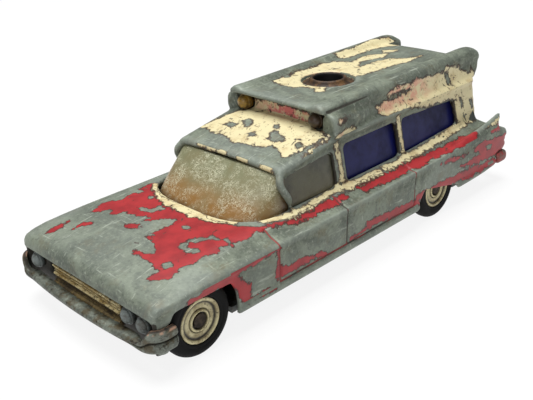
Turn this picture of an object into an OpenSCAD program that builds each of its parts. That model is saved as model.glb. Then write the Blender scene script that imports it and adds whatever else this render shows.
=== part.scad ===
// Toy ambulance: a hollow die-cast body on a riveted base with sprung axles,
// a battery in the floor and a socket for a flashing lamp in the roof.
// Millimetres. +X is forward, +Y the left side, +Z up, the ground at z = 0.

/* [Body] */
// Length over the bumpers
body_length = 113; // [109:0.5:117]
// Width over the side creases
body_width = 44; // [43:0.5:46]
// Height of the sill above the ground
sill_height = 4.8; // [4.5:0.1:5.2]
// Thickness of the wings over the raised tyres
wing_skin = 0.4; // [0.3:0.1:0.8]
// Rise of the belt line under the windows above the wing crest
belt_rise = 1.7; // [1.4:0.1:2]
// Rise of the tail fins above the wing crest
fin_rise = 3.8; // [3:0.1:4.4]
// Thickness of the cast wall
wall = 1.2; // [1:0.1:1.4]

/* [Cabin] */
// Width of the cabin at the belt line
belt_width = 32.4; // [31.6:0.2:33]
// Width of the roof over the gutters
gutter_width = 29; // [28:0.2:30]
// Rise of the roof edge over the windscreen above the belt line
visor_rise = 7.6; // [7.2:0.1:8]
// Further rise of the roof edge up to the raised deck
gutter_rise = 2.6; // [2.2:0.1:3]
// Rise of the raised deck above the roof edge
deck_rise = 5.1; // [4.8:0.1:5.6]
// Rise of the roof fins above the deck at the back
roof_fin_rise = 1.8; // [1.5:0.1:2.3]

/* [Wheels] */
// Distance between the axles
wheelbase = 70.4; // [69:0.2:72]
// Distance from the front bumper to the front axle
front_overhang = 12.3; // [12:0.1:12.8]
// Diameter of the tyres
tyre_diameter = 14; // [13.6:0.1:14.4]
// Width of the tyres
tyre_width = 3.4; // [3:0.1:3.8]
// Diameter of the wheel hubs inside the tyres
hub_diameter = 8.6; // [8:0.1:9]
// Diameter of the axles
axle_diameter = 1.8; // [1.5:0.1:2]
// Upward travel of each sprung axle
axle_travel = 0.5; // [0.4:0.1:0.8]

/* [Roof lamp] */
// Distance of the roof socket behind the middle of the body
socket_offset = 12.8; // [11:0.2:15]
// Diameter of the bore that takes the flashing lamp
socket_bore = 6.5; // [6:0.1:7]
// Length of the bore
socket_length = 4; // [3.4:0.1:4.4]
// Diameter of the two front roof lamps
roof_lamp_diameter = 3.4; // [3:0.1:3.6]

/* [Battery] */
// Diameter of the dry cell
cell_diameter = 12; // [11:0.2:12.4]
// Length of the dry cell
cell_length = 30.2; // [28:0.2:31]
// Travel of the switch under the floor
switch_travel = 3; // [2:0.2:3.4]
// Travel of the battery hatch before it comes off
hatch_travel = 24; // [18:1:26]

/* [Hidden] */
$fn = 64;
// Clearances: parts that lie together, parts that slide, pins that turn
lay = 0.12;
slide = 0.2;
run = 0.05;
// Main stations; those of the cabin and the doors keep their share of the length
nose_x = body_length / 2;
tail_x = -nose_x;
stretch = body_length / 113;
lip_x = nose_x - 2.5;
front_axle_x = nose_x - front_overhang;
rear_axle_x = front_axle_x - wheelbase;
middle_x = (front_axle_x + rear_axle_x) / 2;
cowl_x = 28.8 * stretch;
visor_x = 18.3 * stretch;
roof_x = 11 * stretch;
canopy_x = 4.6 * stretch;
b_post_x = 2.2 * stretch;
c_post_x = -19 * stretch;
door_xs = [25.7 * stretch, 6.5 * stretch, -16.3 * stretch];
cabin_end = tail_x + 7.7 * stretch;
half_w = body_width / 2;
crest_height = tyre_diameter + axle_travel + wing_skin;
belt_height = crest_height + belt_rise;
// Lower body
panel_inset = 0.5;
tub_half = half_w - panel_inset - wall;
lip_z = crest_height - 3.9;
crease_front = crest_height - 1.4;
crease_rear = crest_height;
hood_fall = 2.3;
fin_start_x = tail_x + 38 * stretch;
fin_tip_x = tail_x + 4;
rear_panel_x = tail_x + 6.4 * stretch;
pod_inner = half_w - 5.6;
front_panel_x = lip_x - 1.4;
tub_front = front_panel_x - wall;
tub_rear = rear_panel_x + wall;
// Bumpers
bumper_thick = 1;
bumper_end = nose_x - 6.7;
bar_low = sill_height + 0.7;
bar_high = bar_low + 1.8;
wrap_low = bar_low - 0.1;
wrap_high = lip_z - 1.1;
tail_high = sill_height + 3.1;
tail_reach = rear_panel_x - tail_x - 0.8;
// Lamps and grille, sized to the space between the lip of the hood and the bumper bar
head_lamp_pitch = 4.4;
head_lamp_r = min((lip_z - bar_high) / 2 - 0.25, head_lamp_pitch / 2 - 0.6);
head_lamp_y = half_w - 5;
head_lamp_z = lip_z - 0.15 - head_lamp_r;
grille_low = bar_high + 0.2;
grille_half = head_lamp_y - head_lamp_pitch - 2.2;
notch_z = crest_height - 1.3;
tail_lamp_r = 0.263 * (notch_z - tail_high);
tail_lamp_y = half_w - 2.9;
tail_lamp_z = (notch_z + tail_high) / 2 + 0.05;
// Cabin
visor_height = belt_height + visor_rise;
gutter_height = visor_height + gutter_rise;
deck_height = gutter_height + deck_rise;
roof_fin_height = deck_height + roof_fin_rise;
above = roof_fin_height + 6;
belt_half = belt_width / 2;
gutter_half = gutter_width / 2;
roof_crown = 1.2;
window_low = belt_height + 0.7;
glass = 0.8;
pillar_x = visor_x - 1.5;
screen_low = belt_height - 1.4;
screen_top = visor_height - 1.25;
// Raised roof
rail_low = deck_height - 1.7;
rail_half = gutter_half - 0.7;
rail_front = deck_height + 0.6;
recess_x = canopy_x - 2.8;
lamp_y = rail_half - 3.4;
lamp_z = deck_height - 2.6;
// Base and running gear
base_thick = 1.2;
base_low = sill_height - 0.3;
base_top = base_low + base_thick;
axle_z = tyre_diameter / 2;
axle_r = axle_diameter / 2;
head_r = axle_r + 0.4;
wheel_face = half_w - 1.35;
tyre_inner = wheel_face - tyre_width;
tyre_round = min(0.518 * (axle_z - hub_diameter / 2), 0.45 * tyre_width);
well_gap = 0.25;
well_r = axle_z + 0.6;
ear_half = tyre_inner - 1.2;
ear_thick = 1.4;
slot_top = axle_z + axle_r + axle_travel + run;
lug_z = slot_top + 0.3;
spring_thick = 0.4;
spring_width = 3;
rivet_r = 1.2;
rivet_head = 0.6;
post_r = 2.4;
post_high = 6;
post_y = tub_half - post_r - 0.3;
post_xs = [middle_x + 0.2 * wheelbase, middle_x - 0.2 * wheelbase];
// Battery, hatch and switch
cell_r = cell_diameter / 2;
cell_x = middle_x - 0.1 * wheelbase;
cell_z = base_low + 0.1 + cell_r;
tray_wall = 1.2;
tray_half_x = cell_length / 2 + 2;
tray_half_y = cell_r + slide;
tray_top = base_top + 7;
hatch_thick = 0.8;
hatch_half_x = tray_half_x + 1.5;
hatch_half_y = tray_half_y + 1.2;
rail_thick = 0.7;
rail_outer = hatch_half_y + slide + 1;
plate = [6, 5];
knob = [4, 3.2];
switch_x = middle_x;
switch_y = -rail_outer - 0.6 - plate[1] / 2;
// Roof socket
socket_x = -socket_offset;
socket_r = socket_bore / 2;
sleeve_r = socket_r + 0.7;
flange_r = sleeve_r + 1.35;
flange_low = deck_height - 1.1;
flange_thick = 0.5;
socket_top = deck_height + 0.6;
sleeve_low = socket_top - socket_length;
insulator_r = sleeve_r + 0.7;
insulator_top = sleeve_low + 0.9;

function mix(a, b, t) = a + (b - a) * t;
function ramp(x, a, b) = max(0, min(1, (x - a) / (b - a)));
function reversed(list) = [for (i = [len(list) - 1:-1:0]) list[i]];
function evenly(a, b, n) = [for (i = [0:n]) mix(a, b, i / n)];

// Drop of a surface that rounds over with radius r towards the line x = edge
function rounded_edge(x, edge, r) =
    let (d = min(r, x - edge + r)) d <= 0 ? 0 : r - sqrt(r * r - d * d);

// A closed cross-section from its left half, listed from the bottom to the centre line
function section(x, half) = concat(
    [for (p = half) [x, p[0], p[1]]],
    [for (p = reversed(half)) if (p[0] > 0) [x, -p[0], p[1]]]
);

// A solid skinned over cross-sections that run from the back to the front
module loft(sections) {
    n = len(sections[0]);
    m = len(sections);
    points = [for (s = sections) each s];
    back = [for (j = [0:n - 1]) j];
    front = [for (j = [n - 1:-1:0]) (m - 1) * n + j];
    sides = [
        for (i = [0:m - 2]) for (j = [0:n - 1])
            let (k = (j + 1) % n)
            each [[i * n + j, (i + 1) * n + j, (i + 1) * n + k], [i * n + j, (i + 1) * n + k, i * n + k]]
    ];
    polyhedron(points, concat([back, front], sides), convexity = 10);
}

// Lower body: height and width of its feature lines along the length
function nose_t(x) = ramp(x, cowl_x, lip_x);
function fin_t(x) = pow(ramp(-x, -fin_start_x, -fin_tip_x), 1.7);
function side_y(x) =
    half_w - 1.1 * pow(ramp(x, lip_x - 8, lip_x), 3) - 0.7 * pow(ramp(-x, -tail_x - 12, -tail_x), 2);
function sill_z(x) = sill_height + 1.2 * pow(ramp(-x, -tail_x - 21, -tail_x), 2);
function crest_z(x) =
    crest_height + fin_rise * fin_t(x) - 1.2 * pow(nose_t(x), 4) - rounded_edge(x, lip_x, 1.6);
function crease_z(x) =
    mix(crease_rear, crease_front, ramp(x, -40 * stretch, 40 * stretch))
    - 0.9 * pow(nose_t(x), 6) - rounded_edge(x, lip_x, 1.2);
function hood_z(x) =
    belt_height + 0.2 - hood_fall * pow(nose_t(x), 2.4) - rounded_edge(x, lip_x, 1.8)
    - 1.2 * ramp(-x, -cabin_end, -rear_panel_x);

// Left half of the lower body at one station
function body_half(x) =
    let (y = side_y(x), s = sill_z(x), c = crease_z(x), t = crest_z(x), d = hood_z(x),
         shoulder = min(belt_half + 1.2, y - 2.8),
         step = mix(0.15, panel_inset, ramp(x, cowl_x - 8.8, cowl_x - 1.8)), fin = fin_rise * fin_t(x))
    [
        [y - 1, s],
        [y - 0.35, s + 0.5],
        [y - 0.2, s + 1.5],
        [y - panel_inset - 0.15, s + 2.1],
        [y - panel_inset, s + 3.2],
        [y - mix(panel_inset, step, 0.5), c - 1.6],
        [y - step, c - 0.35],
        [y, c + 0.1],
        [y - 0.25, c + 0.55],
        [y - 0.9, t - 0.3],
        [y - 1.6, t],
        [y - 2.5, t + 0.15 - 0.8 * fin],
        [shoulder, d - mix(0.15, 0.9, nose_t(x))],
        [0.66 * shoulder, d - mix(0.05, 0.35, nose_t(x))],
        [0.345 * shoulder, d - 0.08],
        [0, d]
    ];

// Left half of the hollow inside the lower body
function tub_section(x) =
    let (y = side_y(x) - panel_inset - wall, d = hood_z(x) - wall)
    [
        [y, -1],
        [y, crease_z(x) - 1],
        [y - 1.2, min(crest_z(x), crest_height) - wall - 0.3],
        [min(belt_half, y - 1.5), d - mix(0.2, 1, nose_t(x))],
        [min(belt_half, y - 1.5) * 0.62, d - 0.3],
        [0, d]
    ];

// Cabin under the front roof, moved inwards by inset for its hollow and its glazing
function gutter_z(x) = mix(gutter_height, visor_height, ramp(x, canopy_x - 1, visor_x));
function roof_z(x) = gutter_z(x) + roof_crown * mix(1, 0.4, ramp(x, canopy_x - 1, visor_x));
function cabin_y(z) = mix(belt_half, gutter_half, ramp(z, belt_height, visor_height));
function cabin_half(x) =
    let (g = gutter_half, z = gutter_z(x) - rounded_edge(x, visor_x, 0.7),
         r = roof_z(x) - rounded_edge(x, visor_x, 0.8))
    [
        [belt_half, belt_height - 1.5],
        [belt_half, belt_height],
        [g + 0.1, z - 1],
        [g + 0.45, z - 0.7],
        [g + 0.4, z - 0.1],
        [g - 0.6, z + 0.35],
        [g * 0.66, mix(z, r, 0.8)],
        [0, r]
    ];
function room_half(x, inset) =
    let (b = belt_half - inset, g = gutter_half - inset,
         z = gutter_z(x) - inset, r = roof_z(x) - inset)
    [
        [b, belt_height - 3],
        [b, belt_height],
        [g, z - 0.9],
        [g - 0.9, z],
        [g * 0.6, mix(z, r, 0.7)],
        [0, r]
    ];

// Raised roof with its two rails, which rise into fins at the back
function rail_top(x) =
    mix(rail_front, roof_fin_height, ramp(-x, 0, 46 * stretch)) - rounded_edge(x, canopy_x, 1);
function canopy_half(x) =
    let (z = gutter_z(x), t = rail_top(x), d = deck_height - rounded_edge(x, canopy_x, 0.7))
    [
        [gutter_half - 0.3, z - 0.6],
        [gutter_half - 0.5, z + 0.8],
        [rail_half - 0.6, rail_low - 0.3],
        [rail_half, rail_low + 0.2],
        [rail_half, t - 1.5],
        [rail_half - 0.7, t - 0.5],
        [rail_half - 2, t],
        [rail_half - 3.4, t - 0.3],
        [rail_half - 4.8, d],
        [5, d + 0.08],
        [0, d + 0.12]
    ];
function loft_space_half(x) =
    [
        [gutter_half - 0.5 - wall, gutter_height - 4],
        [gutter_half - 0.5 - wall, gutter_height + 1],
        [rail_half - 0.8 - wall, rail_low],
        [rail_half - 3.4, deck_height - wall - 0.3],
        [0, deck_height - wall]
    ];

// Plan of the wrap-around windscreen at height v from 0 at the cowl to 1 at the roof, grown by grow
function screen_plan(v, grow) =
    let (back = pillar_x + 2 * lay, e = 2 / 3.2,
         nose = mix(cowl_x - 0.2, visor_x - 0.1, v) + 1.1 * sin(180 * v) * (1 - v),
         w = mix(belt_half - 0.55, gutter_half - 0.75, v) + grow, long = nose - back + grow)
    [for (a = [-90:10:90]) [back + long * pow(cos(a), e), w * sign(a) * pow(abs(sin(a)), e)]];

// The body of the windscreen between two heights; tail pushes its open back edge rearwards
module screen_solid(grow, z0, z1, tail) {
    edge = pillar_x + 2 * lay;
    loft([
        for (v = evenly(0, 1, 6))
            [for (p = screen_plan(v, grow)) [p[0] - (p[0] < edge + 0.01 ? tail : 0), p[1], mix(z0, z1, v)]]
    ]);
}

// A flat shape in the side view, given as x and z, pushed through from y0 to y1
module side_prism(y0, y1) {
    translate([0, y1, 0])
        rotate([90, 0, 0])
            linear_extrude(y1 - y0)
                children();
}

// A pane opening with rounded corners through both sides, from its corners in the side view
module window_cutter(corners) {
    hull()
        for (c = corners)
            translate([c[0], 0, c[1]])
                rotate([90, 0, 0])
                    cylinder(r = 0.9, h = 36, center = true, $fn = 24);
}

module both_sides() {
    children();
    mirror([0, 1, 0])
        children();
}

module lower_shell() {
    stations = concat(
        evenly(tail_x, fin_tip_x, 3), evenly(fin_tip_x + 3.4, fin_start_x, 8),
        evenly(mix(fin_start_x, cowl_x - 8.8, 0.23), cowl_x - 8.8, 3),
        evenly(cowl_x - 1.8, lip_x - 9, 4), evenly(lip_x - 7.6, lip_x - 2.4, 4),
        [for (a = [0:18:90]) lip_x - 1.8 * (1 - sin(a))]
    );
    loft([for (x = stations) section(x, body_half(x))]);
}

module cabin_shell() {
    stations = concat(
        evenly(cabin_end, canopy_x - 1, 5), evenly(mix(canopy_x, visor_x, 0.25), visor_x - 0.9, 3),
        [visor_x - 0.4, visor_x - 0.1, visor_x]
    );
    loft([for (x = stations) section(x, cabin_half(x))]);
}

module canopy_shell() {
    stations = concat(
        evenly(tail_x + 1.8, tail_x + 12.5, 3), evenly(tail_x + 18.5, canopy_x - 1, 5),
        [canopy_x - 0.5, canopy_x - 0.15, canopy_x]
    );
    difference() {
        loft([for (x = stations) section(x, canopy_half(x))]);
        translate([recess_x, -rail_half + 1.6, gutter_height - 1])
            cube([4, 2 * rail_half - 3.2, deck_height - gutter_height]);
    }
    both_sides()
        hull() {
            translate([canopy_x - 1.4, gutter_half - 1, gutter_height + 1.9])
                sphere(r = 1.3, $fn = 16);
            translate([canopy_x - 6.6, gutter_half - 0.9, gutter_height + 1.7])
                sphere(r = 0.8, $fn = 16);
        }
}

// Windscreen pillar: from the roof edge it leans out and forward, then back to its foot at the sill
module screen_pillar() {
    knots = [
        [visor_x - 0.6, cabin_y(visor_height - 0.85) - 0.3, visor_height - 0.85],
        [visor_x + 0.7, cabin_y(visor_height - 2.3) + 0.35, visor_height - 2.3],
        [visor_x - 0.9, cabin_y(visor_height - 5.2) + 0.3, visor_height - 5.2],
        [visor_x - 2.7, belt_half - 0.6, belt_height - 0.4]
    ];
    for (i = [0:2])
        hull()
            for (k = [0, 1])
                translate(knots[i + k])
                    sphere(r = 0.7, $fn = 14);
}

// What the casting loses: the hollow inside, the openings and the outline of the tail
module hollow() {
    tub = concat(evenly(tub_rear, c_post_x - 1, 4), evenly(roof_x - 1, lip_x - 9, 3), [lip_x - 6, tub_front]);
    loft([for (x = tub) section(x, tub_section(x))]);
    room = [cabin_end + wall, c_post_x - 1, canopy_x - 1, roof_x, visor_x + 2];
    loft([for (x = room) section(x, room_half(x, wall))]);
    loft([for (x = [cabin_end + 3 * wall, recess_x - wall]) section(x, loft_space_half(x))]);
    translate([0, 0, belt_height - 3])
        linear_extrude(6)
            polygon(screen_plan(0, 0.15));
}

module openings() {
    r = 0.9;
    low = window_low + r;
    front = [b_post_x + 2.2, pillar_x - 1.5];
    second = [c_post_x + 2.4, b_post_x - 3.6];
    third = [cabin_end + 10.2, c_post_x - 2.4];
    high = gutter_height - 4;
    window_cutter([
        [front[0], low], [front[1] - 0.1, low],
        [front[1] + 0.1, visor_height - 2.7], [front[0], visor_height - 2]
    ]);
    window_cutter([[second[0], low], [second[1], low], [second[1], high], [second[0], high]]);
    window_cutter([[third[0], low], [third[1], low], [third[1], high], [third[0], high - 0.8]]);
    translate([cabin_end, 0, 0])
        hull()
            for (y = [-1, 1])
                for (z = [low + 1, gutter_height - 4])
                    translate([0, y * (belt_half - 6.2), z])
                        rotate([0, 90, 0])
                            cylinder(r = 1.2, h = 8, center = true, $fn = 24);
}

module wheel_openings() {
    for (x = [front_axle_x, rear_axle_x])
        both_sides()
            hull()
                for (z = [axle_z, axle_z + axle_travel])
                    translate([x, 0, z])
                        rotate([-90, 0, 0])
                            rotate_extrude($fn = 48)
                                tyre_outline(0.1, well_gap);
    both_sides() {
        side_prism(tub_half - 2, half_w + 2)
            translate([front_axle_x - 0.6, axle_z])
                intersection() {
                    circle(r = well_r, $fn = 48);
                    translate([-2 * axle_z, -2 * axle_z])
                        square([4 * axle_z, 2.655 * axle_z]);
                }
        side_prism(tub_half - 2, half_w + 2)
            translate([rear_axle_x, 0])
                scale(axle_z / 7)
                    polygon([[8.4, 0], [7.6, 6.5], [5.8, 8.8], [-3.8, 6.5], [-7.8, 5.6], [-9.8, 0]]);
    }
}

module nose_and_tail_cuts() {
    // Recess for the lamps and the grille under the lip of the hood, and room for the front bumper
    translate([front_panel_x, -half_w, -1])
        cube([9, 2 * half_w, lip_z + 1]);
    both_sides()
        translate([bumper_end - 0.2, half_w - bumper_thick - 0.15, -1])
            cube([20, 9, wrap_high + 1.25]);
    // Side outline of the tail: fin tip, notch, lamp pod, then room for the rear bumper
    side_prism(-half_w - 2, half_w + 2)
        polygon([
            [tail_x - 4, above], [fin_tip_x - 0.4, above], [fin_tip_x - 0.2, crest_height + fin_rise - 0.37],
            [tail_x + 5.9, crest_height + 0.5], [tail_x + 1.5, notch_z],
            [tail_x + 0.1, crest_height - 3], [tail_x + 0.1, crest_height - 5.3],
            [tail_x + 2, tail_high + 0.15], [tail_x + 2, 0], [tail_x - 4, 0]
        ]);
    translate([tail_x - 1, -pod_inner, 0])
        cube([rear_panel_x - tail_x + 1, 2 * pod_inner, belt_height + 8.4]);
    translate([tail_x - 1, -half_w - 1, 0])
        cube([tail_reach + lay + 1, 2 * half_w + 2, tail_high + 0.15]);
    // Side outline of the roof fins and the gap between them
    side_prism(-gutter_half - 2, gutter_half + 2)
        polygon([
            [tail_x - 2, belt_height + 3.4], [cabin_end - 0.1, belt_height + 3.4],
            [cabin_end - 0.9, gutter_height - 1.4], [tail_x + 4, rail_low - 1.6],
            [tail_x + 3.1, rail_low + 0.3], [tail_x + 4, roof_fin_height - 1.6],
            [tail_x + 5.6, roof_fin_height - 0.4],
            [tail_x + 8, roof_fin_height + 0.1], [tail_x + 8, above], [tail_x - 2, above]
        ]);
    side_prism(-rail_half + 4.7, rail_half - 4.7)
        polygon([
            [tail_x - 2, belt_height + 2.4], [cabin_end + 0.1, belt_height + 2.4],
            [cabin_end + 0.1, gutter_height - 1], [cabin_end + 1.9, deck_height - 0.4],
            [cabin_end + 1.9, above], [tail_x - 2, above]
        ]);
}

module door_lines() {
    both_sides()
        for (x = door_xs)
            translate([x - 0.2, half_w - panel_inset - 0.3, sill_height + 2.6])
                cube([0.4, 2, crease_rear - sill_height - 2.8]);
}

module body_casting() {
    color("lightslategray")
        difference() {
            union() {
                difference() {
                    union() {
                        lower_shell();
                        cabin_shell();
                        canopy_shell();
                    }
                    hollow();
                    translate([pillar_x, -half_w, belt_height + 0.3])
                        cube([20, 2 * half_w, visor_height - belt_height - 1.4]);
                }
                posts();
                both_sides()
                    intersection() {
                        screen_pillar();
                        translate([0, 0, belt_height - 1])
                            cube([visor_x + 9, half_w, visor_height - belt_height + 1]);
                    }
                translate([socket_x, 0, deck_height - 2.2])
                    cylinder(r = flange_r + 1.3, h = 2.5);
            }
            openings();
            wheel_openings();
            nose_and_tail_cuts();
            door_lines();
            at_posts(base_top - 1)
                cylinder(r = rivet_r + lay, h = post_high, $fn = 32);
            translate([socket_x, 0, flange_low])
                cylinder(r = flange_r + lay, h = 5);
            translate([socket_x, 0, deck_height - 5])
                cylinder(r = sleeve_r + lay, h = 8);
            translate([socket_x, 0, insulator_top - 5])
                cylinder(r = insulator_r + lay, h = 5 + lay);
            both_sides()
                translate([recess_x, lamp_y, lamp_z])
                    rotate([0, 90, 0]) {
                        cylinder(r = roof_lamp_diameter / 2 + lay, h = 9, $fn = 32);
                        translate([0, 0, -3])
                            cylinder(r = 0.8 + lay, h = 6, $fn = 32);
                    }
            tail_lamp_seats(lay);
        }
}

// The four places where the base is riveted to posts on the side walls of the casting
module at_posts(z) {
    for (x = post_xs)
        for (side = [-1, 1])
            translate([x, side * post_y, z])
                children();
}
module posts() {
    at_posts(base_top)
        cylinder(r = post_r, h = post_high, $fn = 32);
    both_sides()
        for (x = post_xs)
            translate([x - 1, post_y, base_top + 0.3])
                cube([2, tub_half - post_y + wall / 2, post_high - 0.6]);
}

module base_plate() {
    hole_x = tray_half_x - 0.4;
    color("dimgray")
        difference() {
            union() {
                translate([0, 0, base_low])
                    linear_extrude(base_thick)
                        difference() {
                            translate([tub_rear + 0.4, -tub_half + 0.5])
                                square([tub_front - tub_rear - 0.8, 2 * tub_half - 1]);
                            for (x = [front_axle_x, rear_axle_x])
                                for (s = [-1, 1])
                                    translate([x - well_r, s > 0 ? ear_half : -half_w])
                                        square([2 * well_r, half_w - ear_half]);
                            translate([bumper_end - 0.6, -half_w])
                                square([9, half_w - ear_half]);
                            translate([bumper_end - 0.6, ear_half])
                                square([9, half_w - ear_half]);
                        }
                for (x = [front_axle_x, rear_axle_x])
                    both_sides()
                        axle_ear(x);
                both_sides()
                    hatch_rail();
            }
            for (x = [front_axle_x, rear_axle_x])
                axle_slot(x);
            at_posts(base_low - 1)
                cylinder(r = rivet_r + lay, h = 4);
            translate([cell_x - hole_x, -tray_half_y, base_low - 1])
                cube([2 * hole_x, 2 * tray_half_y, 4]);
            translate([switch_x - 1 - slide, switch_y - 1 - slide / 2, base_low - 1])
                cube([switch_travel + 2 + 2 * slide, 2 + slide, 4]);
        }
}

// Ear that carries one side of an axle, with a lug over the end of the spring
module axle_ear(x) {
    translate([x - 3, ear_half - ear_thick, base_top - 0.1])
        cube([6, ear_thick, lug_z + 0.8 - base_top + 0.1]);
    translate([x - 2, ear_half - ear_thick - 1.6, lug_z])
        cube([4, 1.7, 0.8]);
}

module axle_slot(x) {
    w = axle_r + run;
    translate([x, 0, axle_z])
        rotate([90, 0, 0])
            cylinder(r = w, h = 2 * half_w, center = true);
    translate([x - w, -half_w, axle_z])
        cube([2 * w, 2 * half_w, slot_top - axle_z]);
}

// Rail under the floor that holds one long edge of the battery hatch until it has slid its whole travel
module hatch_rail() {
    depth = hatch_thick + 2 * lay + rail_thick;
    start = cell_x + hatch_half_x - hatch_travel;
    translate([start, hatch_half_y + slide, base_low - depth])
        cube([hatch_travel, rail_outer - hatch_half_y - slide, depth + 0.1]);
    translate([start, hatch_half_y - 0.8, base_low - depth])
        cube([hatch_travel, 1 + slide, rail_thick]);
}

module base_rivets() {
    color("gray")
        at_posts(base_low) {
            translate([0, 0, -rivet_head])
                cylinder(r = rivet_r + 0.8, h = rivet_head);
            cylinder(r = rivet_r, h = base_thick + post_high - 2.5);
        }
}

// Bumpers: a bar across the end and a deeper wrap round each corner, with the end face at x = 0
module bumper_profile(low, high, t) {
    polygon([[-t, low], [-0.5, low], [0, low + 0.6], [0, high - 0.6], [-0.5, high], [-t, high]]);
}
module bumper(bar_low, bar_high, wrap_low, wrap_top, corner, bow, reach, iron_x) {
    flat_half = half_w - corner;
    bar_r = (flat_half * flat_half + bow * bow) / (2 * bow);
    swing = asin(flat_half / bar_r);
    translate([-bar_r, 0, 0])
        rotate([0, 0, -swing])
            rotate_extrude(angle = 2 * swing, $fn = 720)
                translate([bar_r, 0])
                    bumper_profile(bar_low, bar_high, 2.2);
    both_sides() {
        translate([-corner - bow, flat_half - 0.05, 0])
            rotate_extrude(angle = 90)
                translate([corner + 0.05, 0])
                    bumper_profile(wrap_low, wrap_top, bumper_thick);
        translate([-reach, half_w, 0])
            rotate([90, 0, 90])
                linear_extrude(reach - corner - bow + 0.05)
                    bumper_profile(wrap_low, wrap_top, bumper_thick);
        translate([-iron_x, 7, bar_low + 0.1])
            cube([iron_x - 1.5, 2.4, bar_high - bar_low - 0.3]);
    }
}
module front_bumper() {
    color("slategray")
        translate([nose_x, 0, 0])
            bumper(
                bar_low, bar_high, wrap_low, wrap_high, 3.6, 1,
                nose_x - bumper_end, nose_x - front_panel_x - lay
            );
}
module rear_bumper() {
    color("slategray")
        translate([tail_x, 0, 0])
            mirror([1, 0, 0])
                bumper(
                    bar_low + 0.1, tail_high - 0.4, bar_low - 0.2, tail_high, 2.4, 0.3,
                    tail_reach, rear_panel_x - tail_x - lay
                );
}

// Grille: a back plate with two rows of upright bars, parted by a wider level bar
module grille() {
    low = grille_low;
    high = lip_z - 0.15;
    span = grille_half;
    color("darkgoldenrod")
        translate([front_panel_x + lay, 0, 0]) {
            translate([0, -span, low])
                cube([0.5, 2 * span, high - low]);
            for (z = [low, mix(low, high, 0.45), high - 0.4])
                translate([0.4, -span, z])
                    cube([0.7, 2 * span, 0.4]);
            for (i = [0:20])
                translate([0.4, mix(-span, span - 0.3, i / 20), low])
                    cube([0.5, 0.3, high - low]);
        }
}

// A lamp of radius r with a domed lens, facing +X
module lamp(r, body, dome) {
    rotate([0, 90, 0])
        rotate_extrude()
            polygon(concat(
                [[0, 0], [r, 0], [r, body]],
                [for (a = [10:10:80]) [r * cos(a), body + dome * sin(a)]],
                [[0, body + dome]]
            ));
}
module headlamps() {
    color("silver")
        for (y = [-head_lamp_y, head_lamp_y - head_lamp_pitch, head_lamp_y])
            translate([max(front_panel_x + lay, front_axle_x + axle_z + well_gap), y, head_lamp_z])
                lamp(head_lamp_r, 0.8, 0.9);
}
module tail_lamp_seats(grow) {
    for (s = [-1, 1])
        translate([tail_x - 1, s * tail_lamp_y, tail_lamp_z])
            rotate([0, 90, 0])
                cylinder(r = tail_lamp_r + grow, h = 2.8 + grow, $fn = 32);
}
module tail_lamps() {
    color("firebrick")
        for (s = [-1, 1])
            translate([tail_x + 1.8, s * tail_lamp_y, tail_lamp_z])
                mirror([1, 0, 0])
                    lamp(tail_lamp_r, 1.1, 0.7);
}
module roof_lamp(side) {
    color("goldenrod")
        translate([recess_x + lay, side * lamp_y, lamp_z]) {
            lamp(roof_lamp_diameter / 2, 1.2, 1.4);
            translate([-2.4, 0, 0])
                rotate([0, 90, 0])
                    cylinder(r = 0.8, h = 2.5);
        }
}
module left_roof_lamp() roof_lamp(1);
module right_roof_lamp() roof_lamp(-1);

// Glazing: panes that lie inside the cabin walls; the front one also holds the windscreen
module panes(x0, x1, top, back_pane) {
    gap = wall + lay;
    between = [for (x = [c_post_x - 1, canopy_x - 1, roof_x]) if (x > x0 + 0.5 && x < x1 - 0.5) x];
    start = back_pane ? x0 + glass : x0 - 1;
    intersection() {
        difference() {
            loft([for (x = concat([x0], between, [x1])) section(x, room_half(x, gap))]);
            loft([for (x = concat([start], between, [x1 + 1])) section(x, room_half(x, gap + glass))]);
        }
        translate([x0 - 1, -half_w, belt_height - 1.3])
            cube([x1 - x0 + 2, 2 * half_w, top - belt_height + 1.3]);
    }
}
module front_glazing() {
    color("wheat")
        union() {
            panes(b_post_x + 0.4, pillar_x + 0.9, visor_height - 1.6, false);
            difference() {
                screen_solid(0, screen_low, screen_top, 0);
                screen_solid(-1, screen_low - 0.5, screen_top + 0.5, 2);
            }
        }
}
module rear_glazing() {
    color("midnightblue")
        panes(cabin_end + wall + lay, b_post_x - 0.4, gutter_height - 2.2, true);
}

// Roof socket for the flashing lamp, its insulator and the strip that feeds it
module lamp_socket() {
    color("saddlebrown")
        translate([socket_x, 0, 0])
            rotate_extrude()
                polygon([
                    [socket_r, sleeve_low], [sleeve_r, sleeve_low], [sleeve_r, flange_low + 0.06],
                    [flange_r, flange_low + 0.06], [flange_r, flange_low + flange_thick],
                    [socket_r + 0.6, socket_top], [socket_r, socket_top]
                ]);
}
module socket_insulator() {
    color("tan")
        translate([socket_x, 0, insulator_top])
            difference() {
                translate([0, 0, -2.4])
                    cylinder(r = insulator_r, h = 2.4);
                translate([0, 0, -1.4])
                    cylinder(r = sleeve_r + run, h = 4);
                translate([0, 0, -3])
                    cylinder(r = 0.7 + run, h = 4);
            }
}
module lamp_contact() {
    color("gold")
        translate([socket_x, 0, sleeve_low]) {
            translate([0, 0, -1.9])
                cylinder(r = 1.2, h = 0.35);
            translate([0, 0, -1.9])
                cylinder(r = 0.7, h = 1.6);
            translate([0, 0, -0.45])
                cylinder(r = 1.2, h = 0.35);
        }
}
module lamp_lead() {
    t = 0.4;
    foot_x = cell_x - tray_half_x - tray_wall - lay - 2 * t;
    top = sleeve_low - 1.95;
    back = min(foot_x, socket_x - 1.2);
    front = max(foot_x + t, socket_x + 1.2);
    color("goldenrod") {
        translate([foot_x, -1.5, tray_top - 3])
            cube([t, 3, top - tray_top + 3]);
        translate([back, -1.5, top - t])
            cube([front - back, 3, t]);
    }
}

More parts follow.
